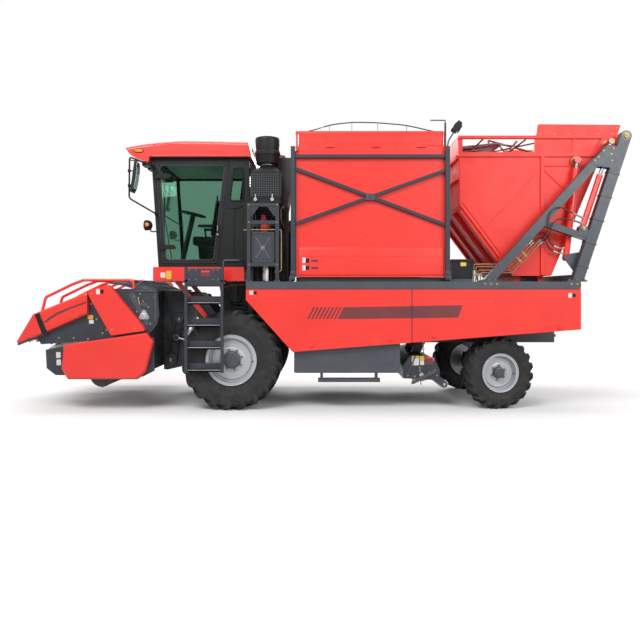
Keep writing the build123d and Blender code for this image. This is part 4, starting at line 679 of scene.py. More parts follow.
for x in (-391, 1660):
    p.box((x - 15, -1050, 3920), (x + 15, -990, 3938))
p.done(0, 50)
p = Piece("ear_bin_inner_ribs", "red", "ear_bin")
for x in (-250, 290, 830, 1370):
    p.box((x, -1140, 1930), (x + 60, -1118, 3690))
    p.box((x, 1118, 1930), (x + 60, 1140, 3890))
for y in (-800, -30, 740):
    p.box((1656, y, 1930), (1680, y + 60, 3890))
p.box((-405, 1112, 3850), (1674, 1140, 3880))
p.done(4)

# Tipping frame: brace bolts, plates, pivot bosses, lamp arm and work lamp on the rear post
POSTS_X = (-461, 1702)
p = Piece("bin_frame_bolts", "slate", "ear_bin")
p.bolts([(-455, 3392), (-455, 2610), (1696, 3380), (1696, 2612), (-461, 3568), (1702, 3568)], -1230, 11, 12)
p.bolts([(620, 2996)], -1211, 11, 12)
p.done(0.8)
p = Piece("bin_frame_plates", "slate", "ear_bin")
p.box((560, -1211, 2950), (680, -1205, 3042))
for x in POSTS_X:
    p.box((x - 34, -1236, 1874), (x + 34, -1230, 1960))
    p.box((x - 32, -1232, 3694), (x + 32, -1150, 3700))
p.tube([(1672, -1190, 4030), (1672, -1190, 4070), (1460, -1190, 4070)], 9, bend=20)
p.tube([(1702, -1190, 3694), (1720, -1190, 3790), (1790, -1190, 3900)], 12, bend=30)
p.done(1.5)
p = Piece("bin_pivot_bosses", "slate", "ear_bin")
for x in POSTS_X:
    p.knob(x, 1916, -1230, -1248, [(0, 31), (0.5, 31), (0.55, 25), (1, 22)], 28)
    p.bolts([(x, 1916)], -1246, 12, 8)
p.done(1.5, 30)
tilt = Matrix.Translation(Vector((1832, -1190, 3972)) * MM) @ Matrix.Rotation(math.radians(32), 4, "Y")
p = Piece("work_lamp", "plastic", "ear_bin", place=tilt)
p.prism([(-45, -78), (35, -70), (50, 0), (35, 78), (-30, 84), (-52, 0)], -62, 62)
for z in (-50, -20, 10, 40):
    p.box((44, -52, z), (60, 52, z + 8))
p.done(5, 30, 3)
p = Piece("work_lamp_lens", "lens", "ear_bin", place=tilt)
p.box((-62, -50, -58), (-48, 50, 62))
p.done(4, 30, 3)

# Silage bin: pressed creases, rim screws, channels under its front slope, and the spreader in its window
# columns: start x, start z, end x, end z, width
CREASES = [(2248, 2538, 3112, 3432, 20), (3180, 3432, 3472, 3160, 20), (3180, 3497, 3720, 3497, 12),
           (2000, 2960, 2725, 1986, 14), (3600, 3692, 3600, 3892, 40), (1962, 2940, 1950, 3630, 26)]
p = Piece("silage_bin_ribs", "bin", "silage_bin")
for x0, z0, x1, z1, wide in CREASES:
    half = Vector((x1 - x0, z1 - z0)).normalized() * wide / 2
    upper = [(x0 - half.y, z0 + half.x), (x1 - half.y, z1 + half.x)]
    lower = [(x1 + half.y, z1 - half.x), (x0 + half.y, z0 - half.x)]
    p.prism(upper + lower, SILAGE_FACE, SILAGE_FACE + 13)
p.mirrored()
slope_top, slope_foot = Vector((1953, 2930)), Vector((2720, 1900))
run = (slope_foot - slope_top).normalized()
away = Vector((run.y, -run.x)) * 45
top, foot = slope_top + run * 60, slope_foot - run * 120
for y in (-780, -290, 290, 780):
    p.prism([top, foot, foot + away, top + away], y - 35, y + 35)
for z in (3300, 3600):
    p.box((1896, -840, z), (1940, 840, z + 50))
p.done(2.5)
p = Piece("silage_bin_screws", "zinc", "silage_bin")
p.bolts([(x, 3962) for x in (3120, 3330, 3540, 3750, 3960, 4170)] + [(4180, 4050), (4230, 4050)], SILAGE_FACE, 7, 6)
p.mirrored()
p.done(0.5)
p = Piece("silage_spreader", "maroon", "silage_bin")
p.prism([(2010, 3790), (2040, 3900), (2640, 3958), (2700, 3930), (2700, 3918), (2630, 3944), (2046, 3884),
         (2022, 3786)], -320, 320)
for y in (-300, -100, 100, 300):
    p.prism([(2030, 3860), (2060, 3905), (2640, 3965), (2650, 3945)], y - 8, y + 8)
for x, z in ((2300, 3905), (2900, 3880), (3290, 3872)):
    p.rod((x, -845, z), (x, 845, z), 18)
for side in HANDS.values():
    p.rod((2660, side * 300, 3936), (3250, -side * 845, 3876), 12)
    p.rod((2660, side * 300, 3936), (2900, side * 420, 3884), 12)
p.rod((2590, 0, 3940), (2590, 0, 4074), 16)
p.rod((2590, 0, 4068), (3290, 0, 3876), 15)
p.rod((2860, -30, 3850), (3030, -30, 4052), 17)
p.done(1.5, 40)


# Cab lines shared with the solids: the x of the leaning front and door pillars at a height
def front_pillar(z):
    return -2439 - (z - 2026) * 101 / 1534


def door_pillar(z):
    return -1595 + (z - 2026) * 189 / 1574


def between_pillars(low, high, front, rear):
    """A side-view outline between the pillars, set in from them."""
    lower = [(front_pillar(low) + front, low), (door_pillar(low) - rear, low)]
    return lower + [(door_pillar(high) - rear, high), (front_pillar(high) + front, high)]


# Roof: side mouldings, gasket, marker lamps, rear louvres and a lining inside the cab
p = Piece("roof_moulding", "red")
MOULDING = [(-2560, 3792), (-2400, 3804), (-2207, 3810), (-2000, 3797), (-1800, 3760), (-1620, 3712), (-1470, 3668)]
for side in HANDS.values():
    p.tube([(x, side * 898, z) for x, z in MOULDING], 7)
    p.tube([(x, side * 897, z) for x, z in ((-2640, 3604), (-2560, 3634), (-1116, 3634), (-1082, 3622))], 8)
p.done(0, 60)
p = Piece("roof_gasket", "plastic")
p.box((-2540, 824, 3612), (-1120, 884, 3626))
p.mirrored()
for z in range(3660, 3820, 26):
    p.box((-1098, -520, z), (-1070 - (z - 3600) * 0.2, 520, z + 9))
p.done(2)


def marker(wide, high):
    """The oval outline of a roof marker."""
    return [(-2706 + wide / 2 * c, 3708 + high / 2 * s) for c, s in polar(28)]


for name, side in HANDS.items():
    p = Piece(f"roof_marker_bezel_{name}", "plastic", side=side)
    p.prism(marker(152, 66), 899, 906)
    p.done(3, 30)
    p = Piece(f"roof_marker_{name}", "amber", side=side)
    p.prism(marker(128, 46), 902, 913)
    p.prism(marker(76, 22), 910, 917)
    p.done(4, 30, 3)
# The roof lining's pale blue-green colour is a painted reflection of the sky, seen in the cab glass
p = Piece("cab_lining", "sky_reflection_lining")
p.box((-2470, -770, 3596), (-1185, 770, 3610))
for x in range(-2400, -1200, 150):
    p.box((x, -760, 3588), (x + 60, 760, 3596))
p.box((-1960, -90, 3572), (-1780, 90, 3590))
p.done(4)

# Door: hinge arms, rubber seal round the pane, lock and pull bar
p = Piece("door_hinge_arms", "plastic", "door")
for z, reach in ((3346, 216), (2314, 226)):
    x = front_pillar(z) + 55
    tip = x + reach
    p.prism([(x + 4, z + 26), (x + 60, z + 38), (tip - 60, z + 36), (tip - 14, z + 24), (tip, z + 2),
             (tip - 14, z - 20), (tip - 60, z - 30), (x + 4, z - 26)], -866, -826)
    p.bolts([(x + 84, z + 3), (tip - 60, z + 3)], -866, 11, 7)
p.done(7, 25, 3)
p = Piece("pillar_hinge_blocks", "plastic")
for z in (3346, 2314):
    x = front_pillar(z)
    p.prism([(x + 2, z + 34), (x + 25, z + 30), (x + 25, z - 24), (x + 2, z - 28)], -827, -818)
p.box((-2385, -782, 2076), (-1600, -768, 2102))
p.done(6, 25, 3)
p = Piece("door_seal", "hose", "door")
p.loop(between_pillars(2129, 3512, 113, 53), -822, 60, 11)
p.loop(between_pillars(2088, 3553, 70, 10), -826, 40, 6)
p.done(0, 60)
p = Piece("door_lock", "steel", "door")
x = door_pillar(2560) - 40
p.knob(x, 2500, -850, -862, [(0, 14), (0.7, 14), (1, 11)], 20)
p.box((x - 4, -868, 2560), (x + 4, -853, 2630))
p.done(1.5)
p = Piece("door_pull_bar", "plastic", "door")
x = door_pillar(2900) - 130
p.tube([(x, -790, 2760), (x, -742, 2760), (x + 30, -742, 3060), (x + 30, -790, 3060)], 12, bend=25)
p.done(0, 60)

# Quarter panels behind the doors: window seal, moulded shelf, raised ribs, lower rail and screws
# columns: outline, height of the relief
RELIEF = [
    ([(-1440, 2935), (-1400, 2948), (-1320, 2952), (-1245, 2944), (-1215, 2925), (-1245, 2900), (-1320, 2884),
      (-1410, 2884)], 16),
    ([(-1352, 2870), (-1326, 2870), (-1332, 2190), (-1346, 2190)], 14),
    ([(-1500, 2860), (-1478, 2862), (-1556, 2170), (-1572, 2170)], 8),
    ([(-1212, 2860), (-1198, 2860), (-1198, 2170), (-1212, 2170)], 8),
    ([(-1500, 2132), (-1225, 2132), (-1225, 2112), (-1500, 2112)], 20),
]
for name, side in HANDS.items():
    p = Piece(f"quarter_relief_{name}", "plastic", side=side)
    window = [(door_pillar(3000) + 80, 2995), (-1200, 2995), (-1200, 3485), (door_pillar(3480) + 80, 3485)]
    p.loop(window, CAB_FACE, 46, 14)
    for outline, high in RELIEF:
        p.prism(outline, CAB_FACE, CAB_FACE + high)
    p.bolts([(-1146, z) for z in (2150, 2500, 2850, 3540)], CAB_FACE, 9, 6)
    p.done(5, 25, 3)

# Windscreen wiper, with its arm and blade riding the glass
p = Piece("wiper", "plastic")
low, high = front_pillar(2170) + 8, front_pillar(3150) + 4
p.rod((low, 40, 2130), (low - 6, 40, 2180), 24)
p.tube([(low - 8, 40, 2170), (high - 12, -240, 2980)], 8, 8)
p.tube([(front_pillar(2560) + 6, -380, 2560), (front_pillar(3350) + 6, -170, 3350)], 9, 8)
p.done(0, 60)

# Mirrors on bent tubes, with shells, glass and clamps
SHELL = [(-2692, 3524), (-2676, 3508), (-2674, 3400), (-2694, 3250), (-2720, 3130), (-2744, 3084),
         (-2764, 3078), (-2764, 3110), (-2742, 3250), (-2722, 3400), (-2706, 3512)]
PANE = [(-2671, 3490), (-2669, 3400), (-2689, 3250), (-2714, 3138), (-2719, 3136), (-2694, 3252), (-2675, 3400),
        (-2677, 3490)]
upper, lower = front_pillar(3480) + 30, front_pillar(2800) + 30
for name, side in HANDS.items():
    p = Piece(f"mirror_arm_{name}", "plastic", side=side)
    p.tube([(upper, 815, 3480), (upper, 960, 3480), (-2796, 1040, 3590), (-2802, 1040, 3000), (lower, 960, 2800),
            (lower, 815, 2800)], 12, 12, bend=44)
    p.tube([(-2797, 1040, 3545), (upper, 985, 3520), (upper, 900, 3480)], 9)
    for z in (3480, 2800):
        p.knob(front_pillar(z) + 30, z, 818, 852, [(0, 34), (0.4, 34), (0.6, 22), (1, 20)], 20)
    for z in (3390, 3180):
        p.ring((-2800, 1040, z - 22), (-2800, 1040, z + 22), [(0, 17), (0.2, 21), (0.8, 21), (1, 17)], 20)
        p.rod((-2800, 1040, z), (-2735, 1040, z), 9)
    arm = p.done(0, 60)
    if name == "left":
        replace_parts(arm, "mirrors")
    p = Piece(f"mirror_shell_{name}", "plastic", side=side)
    p.prism(SHELL, 946, 1134)
    p.done(9, 25, 3)
    p = Piece(f"mirror_glass_{name}", "mirror", side=side)
    p.prism(PANE, 960, 1120)
    p.done(1, 25)

# Work lamps let into the visor, and turn lamps on the front pillars
VISOR_LAMPS_Y = (400, 700)
TURN_Y = 795
x = front_pillar(2640)
p = Piece("lamp_bodies", "plastic")
for y in VISOR_LAMPS_Y:
    p.prism([(-2684, 3553), (-2590, 3553), (-2594, 3528), (-2676, 3510), (-2690, 3530)], y - 90, y + 90)
    for dy in (-45, 0, 45):
        p.box((-2668, y + dy - 5, 3553), (-2610, y + dy + 5, 3558))
p.ring((x - 58, TURN_Y, 2640), (x - 164, TURN_Y, 2640),
       [(0, 26), (0.08, 44), (0.3, 66), (0.6, 75), (0.92, 76), (1, 70)], 32)
p.mirrored()
for y in (-TURN_Y, TURN_Y):
    p.tube([(x - 80, y, 2600), (x - 80, y, 2548), (x + 2, y, 2548)], 10, bend=22)
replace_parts(p.done(2, 30), "lamps")
p = Piece("lamp_lenses", "lens")
for y in VISOR_LAMPS_Y:
    p.prism([(-2688, 3532), (-2676, 3512), (-2681, 3508), (-2694, 3530)], y - 78, y + 78)
p.mirrored()
p.done(2, 30)
p = Piece("turn_lamp_lenses", "amber")
p.ring((x - 160, TURN_Y, 2640), (x - 184, TURN_Y, 2640), [(0, 66), (0.4, 64), (0.75, 50), (0.95, 22), (1, 6)], 32)
p.knob(x - 118, 2644, TURN_Y + 66, TURN_Y + 80, [(0, 30), (0.5, 28), (0.9, 16), (1, 5)])
p.mirrored()
p.done(0, 50)

# Air intake: filter box with a waffle face, tapered hood, pre-cleaner bowl and clamp knobs
BOWL_X, BOWL_Y = -838, -930
p = Piece("intake_box", "plastic", slot="moulded_plastic")
p.box((-1072, -1160, 2918), (-640, -724, 2992))
p.box((-1086, -1168, 2976), (-644, -722, 2996))
p.box((-1050, -1152, 2996), (-646, -736, 3352))
p.box((-1062, -1166, 3346), (-634, -724, 3366))
p.done(2.5, 30)
p = Piece("intake_ribs", "ribbed")
for x in range(-1040, -650, 33):
    p.box((x, -1166, 3008), (x + 9, -1152, 3346))
    p.box((x, -736, 3008), (x + 9, -724, 3346))
for z in range(3012, 3346, 30):
    p.box((-1046, -1163, z), (-650, -1152, z + 8))
    p.box((-1046, -736, z), (-650, -726, z + 8))
    for x0, x1 in ((-1062, -1050), (-646, -636)):
        p.box((x0, -1140, z), (x1, -748, z + 8))
for y in range(-1130, -750, 40):
    for x0, x1 in ((-1064, -1050), (-646, -634)):
        p.box((x0, y, 3008), (x1, y + 9, 3346))
p.done(2, 30)
p = Piece("intake_hood", "plastic", slot="moulded_plastic")
# columns: height, half width, roundness
HOOD = [(3366, 196, 0.0), (3384, 190, 0.1), (3420, 160, 0.45), (3450, 128, 0.85), (3470, 104, 1.0),
        (3500, 100, 1.0)]
levels = []
for z, half, roundness in HOOD:
    reaches = [(c, s, half * (1 + (1 / max(abs(c), abs(s)) - 1) * (1 - roundness))) for c, s in polar(40, 1, 0.5)]
    levels.append([(BOWL_X + c * reach, BOWL_Y + s * reach, z) for c, s, reach in reaches])
p.skin(levels)
# columns: height, radius
BOWL = [(3488, 118), (3492, 150), (3512, 168), (3520, 168), (3524, 160), (3540, 162), (3544, 170), (3552, 170),
        (3556, 162), (3572, 164), (3576, 172), (3584, 172), (3588, 164), (3604, 166), (3608, 174), (3622, 176),
        (3630, 182), (3664, 184), (3672, 178), (3684, 178), (3690, 166), (3720, 168), (3840, 178), (3862, 176),
        (3874, 168), (3880, 150), (3877, 60)]
low, high = BOWL[0][0], BOWL[-1][0]
profile = [((z - low) / (high - low), radius) for z, radius in BOWL]
p.ring((BOWL_X, BOWL_Y, low), (BOWL_X, BOWL_Y, high), profile, 48)
for c, s in polar(24):
    p.rod((BOWL_X + 160 * c, BOWL_Y + 160 * s, 3505), (BOWL_X + 168 * c, BOWL_Y + 168 * s, 3615), 5, 6)
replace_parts(p.done(0, 32), "air_intake")
p = Piece("intake_clamps", "steel")
p.ring((BOWL_X, BOWL_Y, 3476), (BOWL_X, BOWL_Y, 3494), [(0, 103), (0.1, 107), (0.9, 107), (1, 103)], 40)
p.box((BOWL_X - 14, BOWL_Y - 124, 3478), (BOWL_X + 14, BOWL_Y - 100, 3492))
for x in (-990, -753):
    p.knob(x, 2962, -1160, -1198, [(0, 12), (0.3, 12), (0.32, 25), (0.8, 27), (1, 18)], 20)
    p.box((x - 7, -1178, 2980), (x + 7, -1168, 3040))
p.done(1.5, 30)

# Reserve tank in its stand: pressed cross on its face, rim, filler, side pipes, gussets and bolts
p = Piece("reserve_tank_relief", "tank")
p.loop([(-1040, 2092), (-730, 2092), (-730, 2494), (-1040, 2494)], -1164, 50, 9)
p.loop([(-1012, 2120), (-758, 2120), (-758, 2466), (-1012, 2466)], -1166, 44, 5)
p.done(0, 60)
# The pressed cross is coloured lighter than the tank: a painted highlight where light catches its raised ridges
p = Piece("reserve_tank_cross", "ridge_highlight_grey")
for x0, x1 in ((-905, -985), (-870, -795)):
    for z0, z1 in ((2300, 2430), (2262, 2146)):
        p.tube([(x0, -1165, z0), (x1, -1165, z1)], 5, 8)
p.knob(-888, 2281, -1160, -1174, [(0, 34), (0.5, 34), (1, 26)], 28)
p.done(0, 60)
p = Piece("reserve_tank_filler", "orange")
p.ring((-868, -950, 2505), (-868, -950, 2660), [(0, 40), (0.45, 40), (0.46, 58), (0.52, 60), (0.8, 60),
                                                (0.86, 54), (1, 34)], 32)
for dx, dy in polar(14, 59):
    p.rod((-868 + dx, -950 + dy, 2584), (-868 + dx, -950 + dy, 2630), 6, 6)
p.done(0, 32)
p = Piece("stand_pipe", "brass")
p.tube([(-1160, -1140, 2538), (-1000, -1140, 2543), (-628, -1140, 2543), (-628, -1140, 1960),
        (-720, -1140, 1945)], 8, bend=30)
p.tube([(-640, -1000, 2850), (-640, -1000, 2700), (-600, -900, 2600)], 9, bend=40)
p.done(0, 60)
p = Piece("stand_gussets", "storm")
for x, way in ((-1060, 1), (-710, -1)):
    p.prism([(x, 2866), (x + way * 120, 2866), (x + way * 20, 2730), (x, 2730)], -1162, -1152)
for x in (-1110, -710):
    p.box((x - 14, -1184, 1810), (x + 64, -1106, 1822))
p.box((-1060, -1168, 2300), (-710, -1166, 2304))
p.done(2)
p = Piece("stand_bolts", "zinc")
for x in (-1118, -1056, -718, -656):
    p.bolt((x, -1170, 1822), (0, 0, 1), 8, 10)
p.bolts([(x, z) for x in (-1085, -685) for z in (2050, 2645, 2890)], -1170, 8, 8)
p.done(0.6)
# columns: name, paint, x, y, low, high, profile of share and radius
CANS = [
    ("fuel_filter", "red", -905, -800, 2530, 2790,
     [(0, 20), (0.03, 48), (0.55, 50), (0.58, 44), (0.62, 58), (0.72, 58), (0.74, 40), (1, 36)]),
    ("oil_filter", "blue", -690, -790, 2440, 2790,
     [(0, 30), (0.03, 46), (0.1, 48), (0.8, 48), (0.82, 54), (0.9, 54), (0.92, 30), (1, 28)]),
    ("water_bowl", "steel", -872, -1010, 1818, 2060,
     [(0, 20), (0.05, 32), (0.5, 34), (0.52, 24), (0.6, 24), (0.62, 30), (1, 28)]),
    ("drain_bottle", "white", -836, -1080, 1818, 2058, [(0, 20), (0.04, 24), (0.7, 24), (0.8, 12), (1, 12)]),
]
for name, paint, x, y, low, high, profile in CANS:
    p = Piece(name, paint)
    p.ring((x, y, low), (x, y, high), profile, 32)
    p.done(0, 32)

# Rubber lines beside the engine, on the feeder and under the cab
# columns: name, body, radius, sides, bend, routes of y and points in side view
LINES = [
    ("engine_side_lines", "machine", 17, 12, 50, [
        (-760, [(-1040, 2880), (-1020, 2700), (-980, 2560), (-1000, 2200), (-980, 1830)]),
        (-740, [(-600, 2860), (-620, 2600), (-600, 2300), (-590, 1830)]),
        (-780, [(-905, 2790), (-880, 2850), (-760, 2850), (-690, 2790)]),
        (-750, [(-780, 2830), (-800, 2600), (-790, 2300), (-800, 1830)])]),
    ("feeder_lines", "header", 13, 10, 60, [
        (-440, [(-2440, 1560), (-2380, 1440), (-2300, 1180), (-2260, 980)]),
        (-460, [(-2450, 1180), (-2380, 1080), (-2330, 900), (-2350, 760)]),
        (-430, [(-2420, 960), (-2300, 930), (-2200, 1010), (-2130, 1180)])]),
    ("under_cab_lines", "machine", 15, 10, 70, [
        (-470, [(-1600, 1800), (-1560, 1600), (-1460, 1500), (-1300, 1480), (-1180, 1500)]),
        (-520, [(-1540, 1815), (-1500, 1560), (-1380, 1430), (-1200, 1420)]),
        (-440, [(-1250, 1815), (-1240, 1640), (-1300, 1520), (-1420, 1470)])]),
]
for name, body, radius, sides, bend, routes in LINES:
    p = Piece(name, "hose", body)
    for y, route in routes:
        p.tube([(x, y, z) for x, z in route], radius, sides, bend=bend)
    p.done(0, 60)

# Seat: a bellows base with arm rests, and stuffed pads
p = Piece("seat_base", "inside", slot="seat_fabric")
p.box((-1850, -200, 2027), (-1560, 200, 2060))
for k in range(7):
    z = 2064 + 40 * k
    inset = 8 * (k % 2)
    p.box((-1836 + inset, -190 + inset, z), (-1574 - inset, 190 - inset, z + 38))
p.box((-1900, -220, 2346), (-1560, 220, 2396))
for y in (-318, 270):
    p.box((-1960, y, 2660), (-1640, y + 48, 2704))
    p.box((-1660, y, 2400), (-1610, y + 48, 2700))
p.done(8, 30, 3)
# columns: name, centre, half sizes, lean, stitch lines of axis, place, depth and width
PADS = [
    ("seat_cushion", (-1815, 0, 2455), (255, 258, 72), 2,
     [(1, -0.62, 0.16, 0.05), (1, 0.62, 0.16, 0.05), (0, -0.25, 0.12, 0.04), (0, 0.3, 0.12, 0.04)]),
    ("seat_back", (-1655, 0, 2800), (92, 246, 300), 9,
     [(1, -0.6, 0.14, 0.05), (1, 0.6, 0.14, 0.05), (2, -0.35, 0.12, 0.03), (2, 0.0, 0.12, 0.03),
      (2, 0.35, 0.12, 0.03)]),
    ("seat_head_rest", (-1580, 0, 3170), (52, 140, 74), 9, [(1, 0.0, 0.10, 0.04)]),
]
for name, centre, half, lean, stitches in PADS:
    bm = bmesh.new()
    bmesh.ops.create_uvsphere(bm, u_segments=80, v_segments=40, radius=1)
    for v in bm.verts:
        cube = v.co / max(abs(n) for n in v.co)
        out = max(range(3), key=lambda i: abs(cube[i]))
        v.co = cube * 0.78 + v.co.normalized() * 0.22
        for axis, at, deep, wide in stitches:
            if out != axis:
                v.co[out] *= 1 - deep * math.exp(-((v.co[axis] - at) / wide) ** 2)
        v.co = Vector([a * b for a, b in zip(v.co, half)])
    lean = Matrix.Rotation(math.radians(lean), 4, "Y")
    bm.transform(Matrix.Translation(Vector(centre) * MM) @ lean @ Matrix.Scale(MM, 4))
    obj = added(name, bm, PAINT["seat"][0])
    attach(obj, "machine")
    if name == "seat_cushion":
        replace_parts(obj, "cab_seat")


# Corn head: nose shoes with chain teeth, black bands and stripes on the outer dividers, hood, side-plate fittings
def divider_face(x):
    """Outer face of an outer divider, as a distance from the middle."""
    return 1287 + (x + 3938) * 0.0133


# columns: name, paint, how far it stands out, bevel, outline, bolts
PATCHES = [
    ("divider_bands", "plastic", 3, 1, [(-4040, 1352), (-3974, 1376), (-3864, 1112), (-3938, 1086)],
     [(-4010, 1330), (-3968, 1230), (-3920, 1130)]),
    ("divider_stripes", "maroon", 1.5, 0,
     [(-3921, 1238), (-3847, 1309), (-3741, 1374), (-3582, 1439), (-3317, 1538), (-3317, 1510), (-3573, 1415),
      (-3723, 1344), (-3820, 1284), (-3873, 1245)], []),
]
for name, paint, proud, bevel, outline, bolts in PATCHES:
    p = Piece(name, paint, "header")
    p.skin([[(x, divider_face(x) + out, z) for x, z in outline] for out in (proud, -4)])
    for x, z in bolts:
        p.bolts([(x, z)], divider_face(x), 9, 8)
    p.mirrored()
    p.done(bevel, 30)
p = Piece("divider_folds", "red", "header")
for side in HANDS.values():
    for x, low, high, radius in ((-3870, 1178, 1392, 6), (-3960, 1300, 1562, 5)):
        start = (x, side * (divider_face(x) - 1), low)
        p.tube([start, (-3310, side * (divider_face(-3310) - 1), high)], radius, 8)
p.done(0, 60)
p = Piece("nose_shoes", "iron", "header", "dark_paint")
SHOE = [(-4318, 924), (-4268, 972), (-4150, 1046), (-4090, 1052), (-4110, 1018), (-4200, 962), (-4290, 922)]
for y in (-1200, -600, 0, 600, 1200):
    p.prism(SHOE, y - 24, y + 24)
    for k in range(9):
        x, z = -4190 + 34 * k, 972 + 13.4 * k
        for tooth in (y - 62, y + 62):
            p.prism([(x, z + 16), (x + 22, z + 24), (x + 30, z - 4), (x + 10, z - 16)], tooth - 9, tooth + 9)
p.done(3, 30)
# columns: x, height at the edge, height in the middle
STATIONS = [(-3040, 1788, 1820), (-2850, 1762, 1826), (-2690, 1714, 1822), (-2580, 1704, 1752), (-2480, 1698, 1706)]
ACROSS = [-1190, -1020, -840, -700, -350, 0, 350, 700, 840, 1020, 1190]


def on_hood(station, y, above=0):
    """A point on the hood."""
    x, edge, middle = station
    return (x, y, edge + (middle - edge) * max(0, min(1, (1190 - abs(y)) / 490)) + above)


p = Piece("header_hood", "slate", "header")
p.skin([[on_hood(row, y) for y in ACROSS] + [on_hood(row, y, -8) for y in ACROSS[::-1]] for row in STATIONS])
for y in range(-1160, 1170, 58):
    p.tube([on_hood(row, y, 3) for row in STATIONS], 7, 6)
for row in STATIONS[1:4]:
    p.tube([on_hood(row, y, 7) for y in ACROSS], 9, 6)
p.done(0, 40)
PLATE_BOLTS = [(-3731, 1023), (-3526, 1020), (-3326, 1006), (-3124, 1089), (-3067, 1130), (-3205, 1282),
               (-3285, 1496), (-2554, 1531), (-2643, 1487), (-2482, 1451), (-2643, 1389), (-2678, 1603),
               (-2456, 1219), (-2563, 1202), (-2456, 1683), (-2598, 1638), (-2390, 1600), (-2385, 1300)]
p = Piece("header_bolts", "zinc", "header")
p.bolts(PLATE_BOLTS, HEAD_FACE, 10, 9)
p.bolts([(-3240, 1640), (-2960, 1140), (-2640, 1150), (-3020, 1740)], GUARD_FACE, 10, 8)
p.mirrored()
p.done(0.6)
HUB_X, HUB_Z = -2541, 1335
p = Piece("header_drive_hubs", "steel", "header")
angles = [math.radians(a + d) for a in (90, 210, 330) for d in (-13.2, 0, 13.2)]
p.prism([(HUB_X + 78 * math.cos(a), HUB_Z + 78 * math.sin(a)) for a in angles], 1208, 1222)
p.knob(HUB_X, HUB_Z, 1218, 1246, [(0, 52), (0.7, 50), (0.72, 36), (0.9, 36), (1, 30)], 32)
p.bolts([(HUB_X + dx, HUB_Z + dz) for dx, dz in polar(3, 64, 0.75)], 1221, 9, 8)
p.mirrored()
p.done(1.5, 30)
# columns: outline, outer face
SLOTS = [
    ([(-2660, 1522), (-2490, 1500), (-2490, 1456), (-2660, 1470)], 1221),
    ([(-2668, 1690), (-2380, 1690), (-2372, 1668), (-2668, 1668)], 1224),
    ([(-2395, 1660), (-2370, 1660), (-2366, 1240), (-2391, 1240)], 1220),
    ([(-2760, 1630), (-2690, 1660), (-2470, 1212), (-2520, 1190)], 1214),
]
p = Piece("header_plate_relief", "slate", "header")
for outline, face in SLOTS:
    p.prism(outline, 1208, face)
p.mirrored()
p.done(3, 30)
p = Piece("header_lever", "brass", "header")
p.tube([(-2616, -1218, 1590), (-2616, -1236, 1570), (-2598, -1236, 1496), (-2598, -1218, 1480)], 9, 8, bend=12)
p.done(0, 60)
p = Piece("feeder_drive", "dark", "header")
BELT_SLOPE = 0.2
for side in HANDS.values():
    near, far = side * FEEDER_FACE, side * (FEEDER_FACE + 48)
    p.knob(-2343, 640, near, far, [(0, 92), (0.2, 92), (0.3, 78), (0.7, 78), (0.8, 92), (1, 92)], 36)
    p.knob(-2343, 640, near + side * 44, near + side * 66, [(0, 34), (1, 26)])
    p.knob(-2220, 1250, near, far, [(0, 60), (0.2, 60), (0.3, 50), (0.7, 50), (0.8, 60), (1, 60)], 32)
    for way in (-1, 1):
        start = (-2343 + way * 84, near + side * 24, 640 + way * BELT_SLOPE * 84)
        end = (-2220 + way * 54, near + side * 24, 1250 + way * BELT_SLOPE * 54)
        p.tube([start, end], 11, 8)
    for x in (-2440, -2330, -2200, -2090):
        p.box((x, near, 1350), (x + 22, near + side * 14, 1640))
    p.prism([(-2450, 1340), (-2070, 1360), (-2070, 1382), (-2450, 1362)], near, near + side * 16)
p.done(2, 30)
p = Piece("feeder_hub_caps", "steel", "header")
p.knob(-2343, 640, 466, 484, [(0, 30), (0.5, 30), (1, 18)])
p.knob(-2220, 1250, 452, 468, [(0, 24), (0.5, 24), (1, 14)])
p.mirrored()
p.done(0, 30)

# Ladder: stringers, treads with studs, kick plates, a curved top plate, and a grab rail beside the cab panel
TREADS_Z = (582, 893, 1204, 1515)
TOP_PLATE = [(-1316, 1990), (-1318, 1960), (-1318, 1800), (-1316, 1770), (-1306, 1748), (-1290, 1738),
             (-1290, 1746), (-1301, 1756), (-1308, 1774), (-1309, 1990)]
p = Piece("ladder_frame", "storm")
for x in (-1938, -1439):
    p.box((x - 20, -1316, 557), (x + 20, -1275, 1990))
    p.box((x - 24, -1318, 548), (x + 24, -1272, 562))
    p.rod((x, -1296, 1985), (x, -1296, 2012), 19)
for z in TREADS_Z:
    p.box((-1918, -1316, z - 25), (-1459, -1215, z - 6))
    p.box((-1918, -1316, z - 25), (-1459, -1306, z + 4))
    p.box((-1918, -1227, z), (-1459, -1215, z + 90))
    for x in range(-1890, -1480, 44):
        for y in (-1290, -1262, -1236):
            p.ring((x, y, z - 8), (x, y, z + 1), [(0, 11), (0.7, 9), (1, 5)], 8)
p.box((-1950, -1316, 1800), (-1427, -900, 1834))
for x in range(-1920, -1450, 46):
    for y in range(-1290, -920, 46):
        p.ring((x, y, 1832), (x, y, 1842), [(0, 12), (0.7, 10), (1, 5)], 8)
p.prism_x(TOP_PLATE, -1918, -1459)
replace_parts(p.done(2, 30), "ladder")
p = Piece("ladder_tread_edges", "steel")
for z in TREADS_Z:
    p.box((-1912, -1319, z - 2), (-1465, -1300, z + 5))
p.done(2)
p = Piece("ladder_bolts", "zinc")
for x in (-1890, -1800, -1560, -1490):
    for z in (1840, 1966):
        p.knob(x, z, -1316, -1319, [(0, 9), (1, 7)], 12)
p.done(0.3)
p = Piece("cab_grab_rail", "slate")
p.tube([(-1432, -1240, 1838), (-1432, -1240, 2105), (-1205, -1240, 2105), (-1205, -818, 2105)], 11, 12, bend=40)
p.done(0, 60)

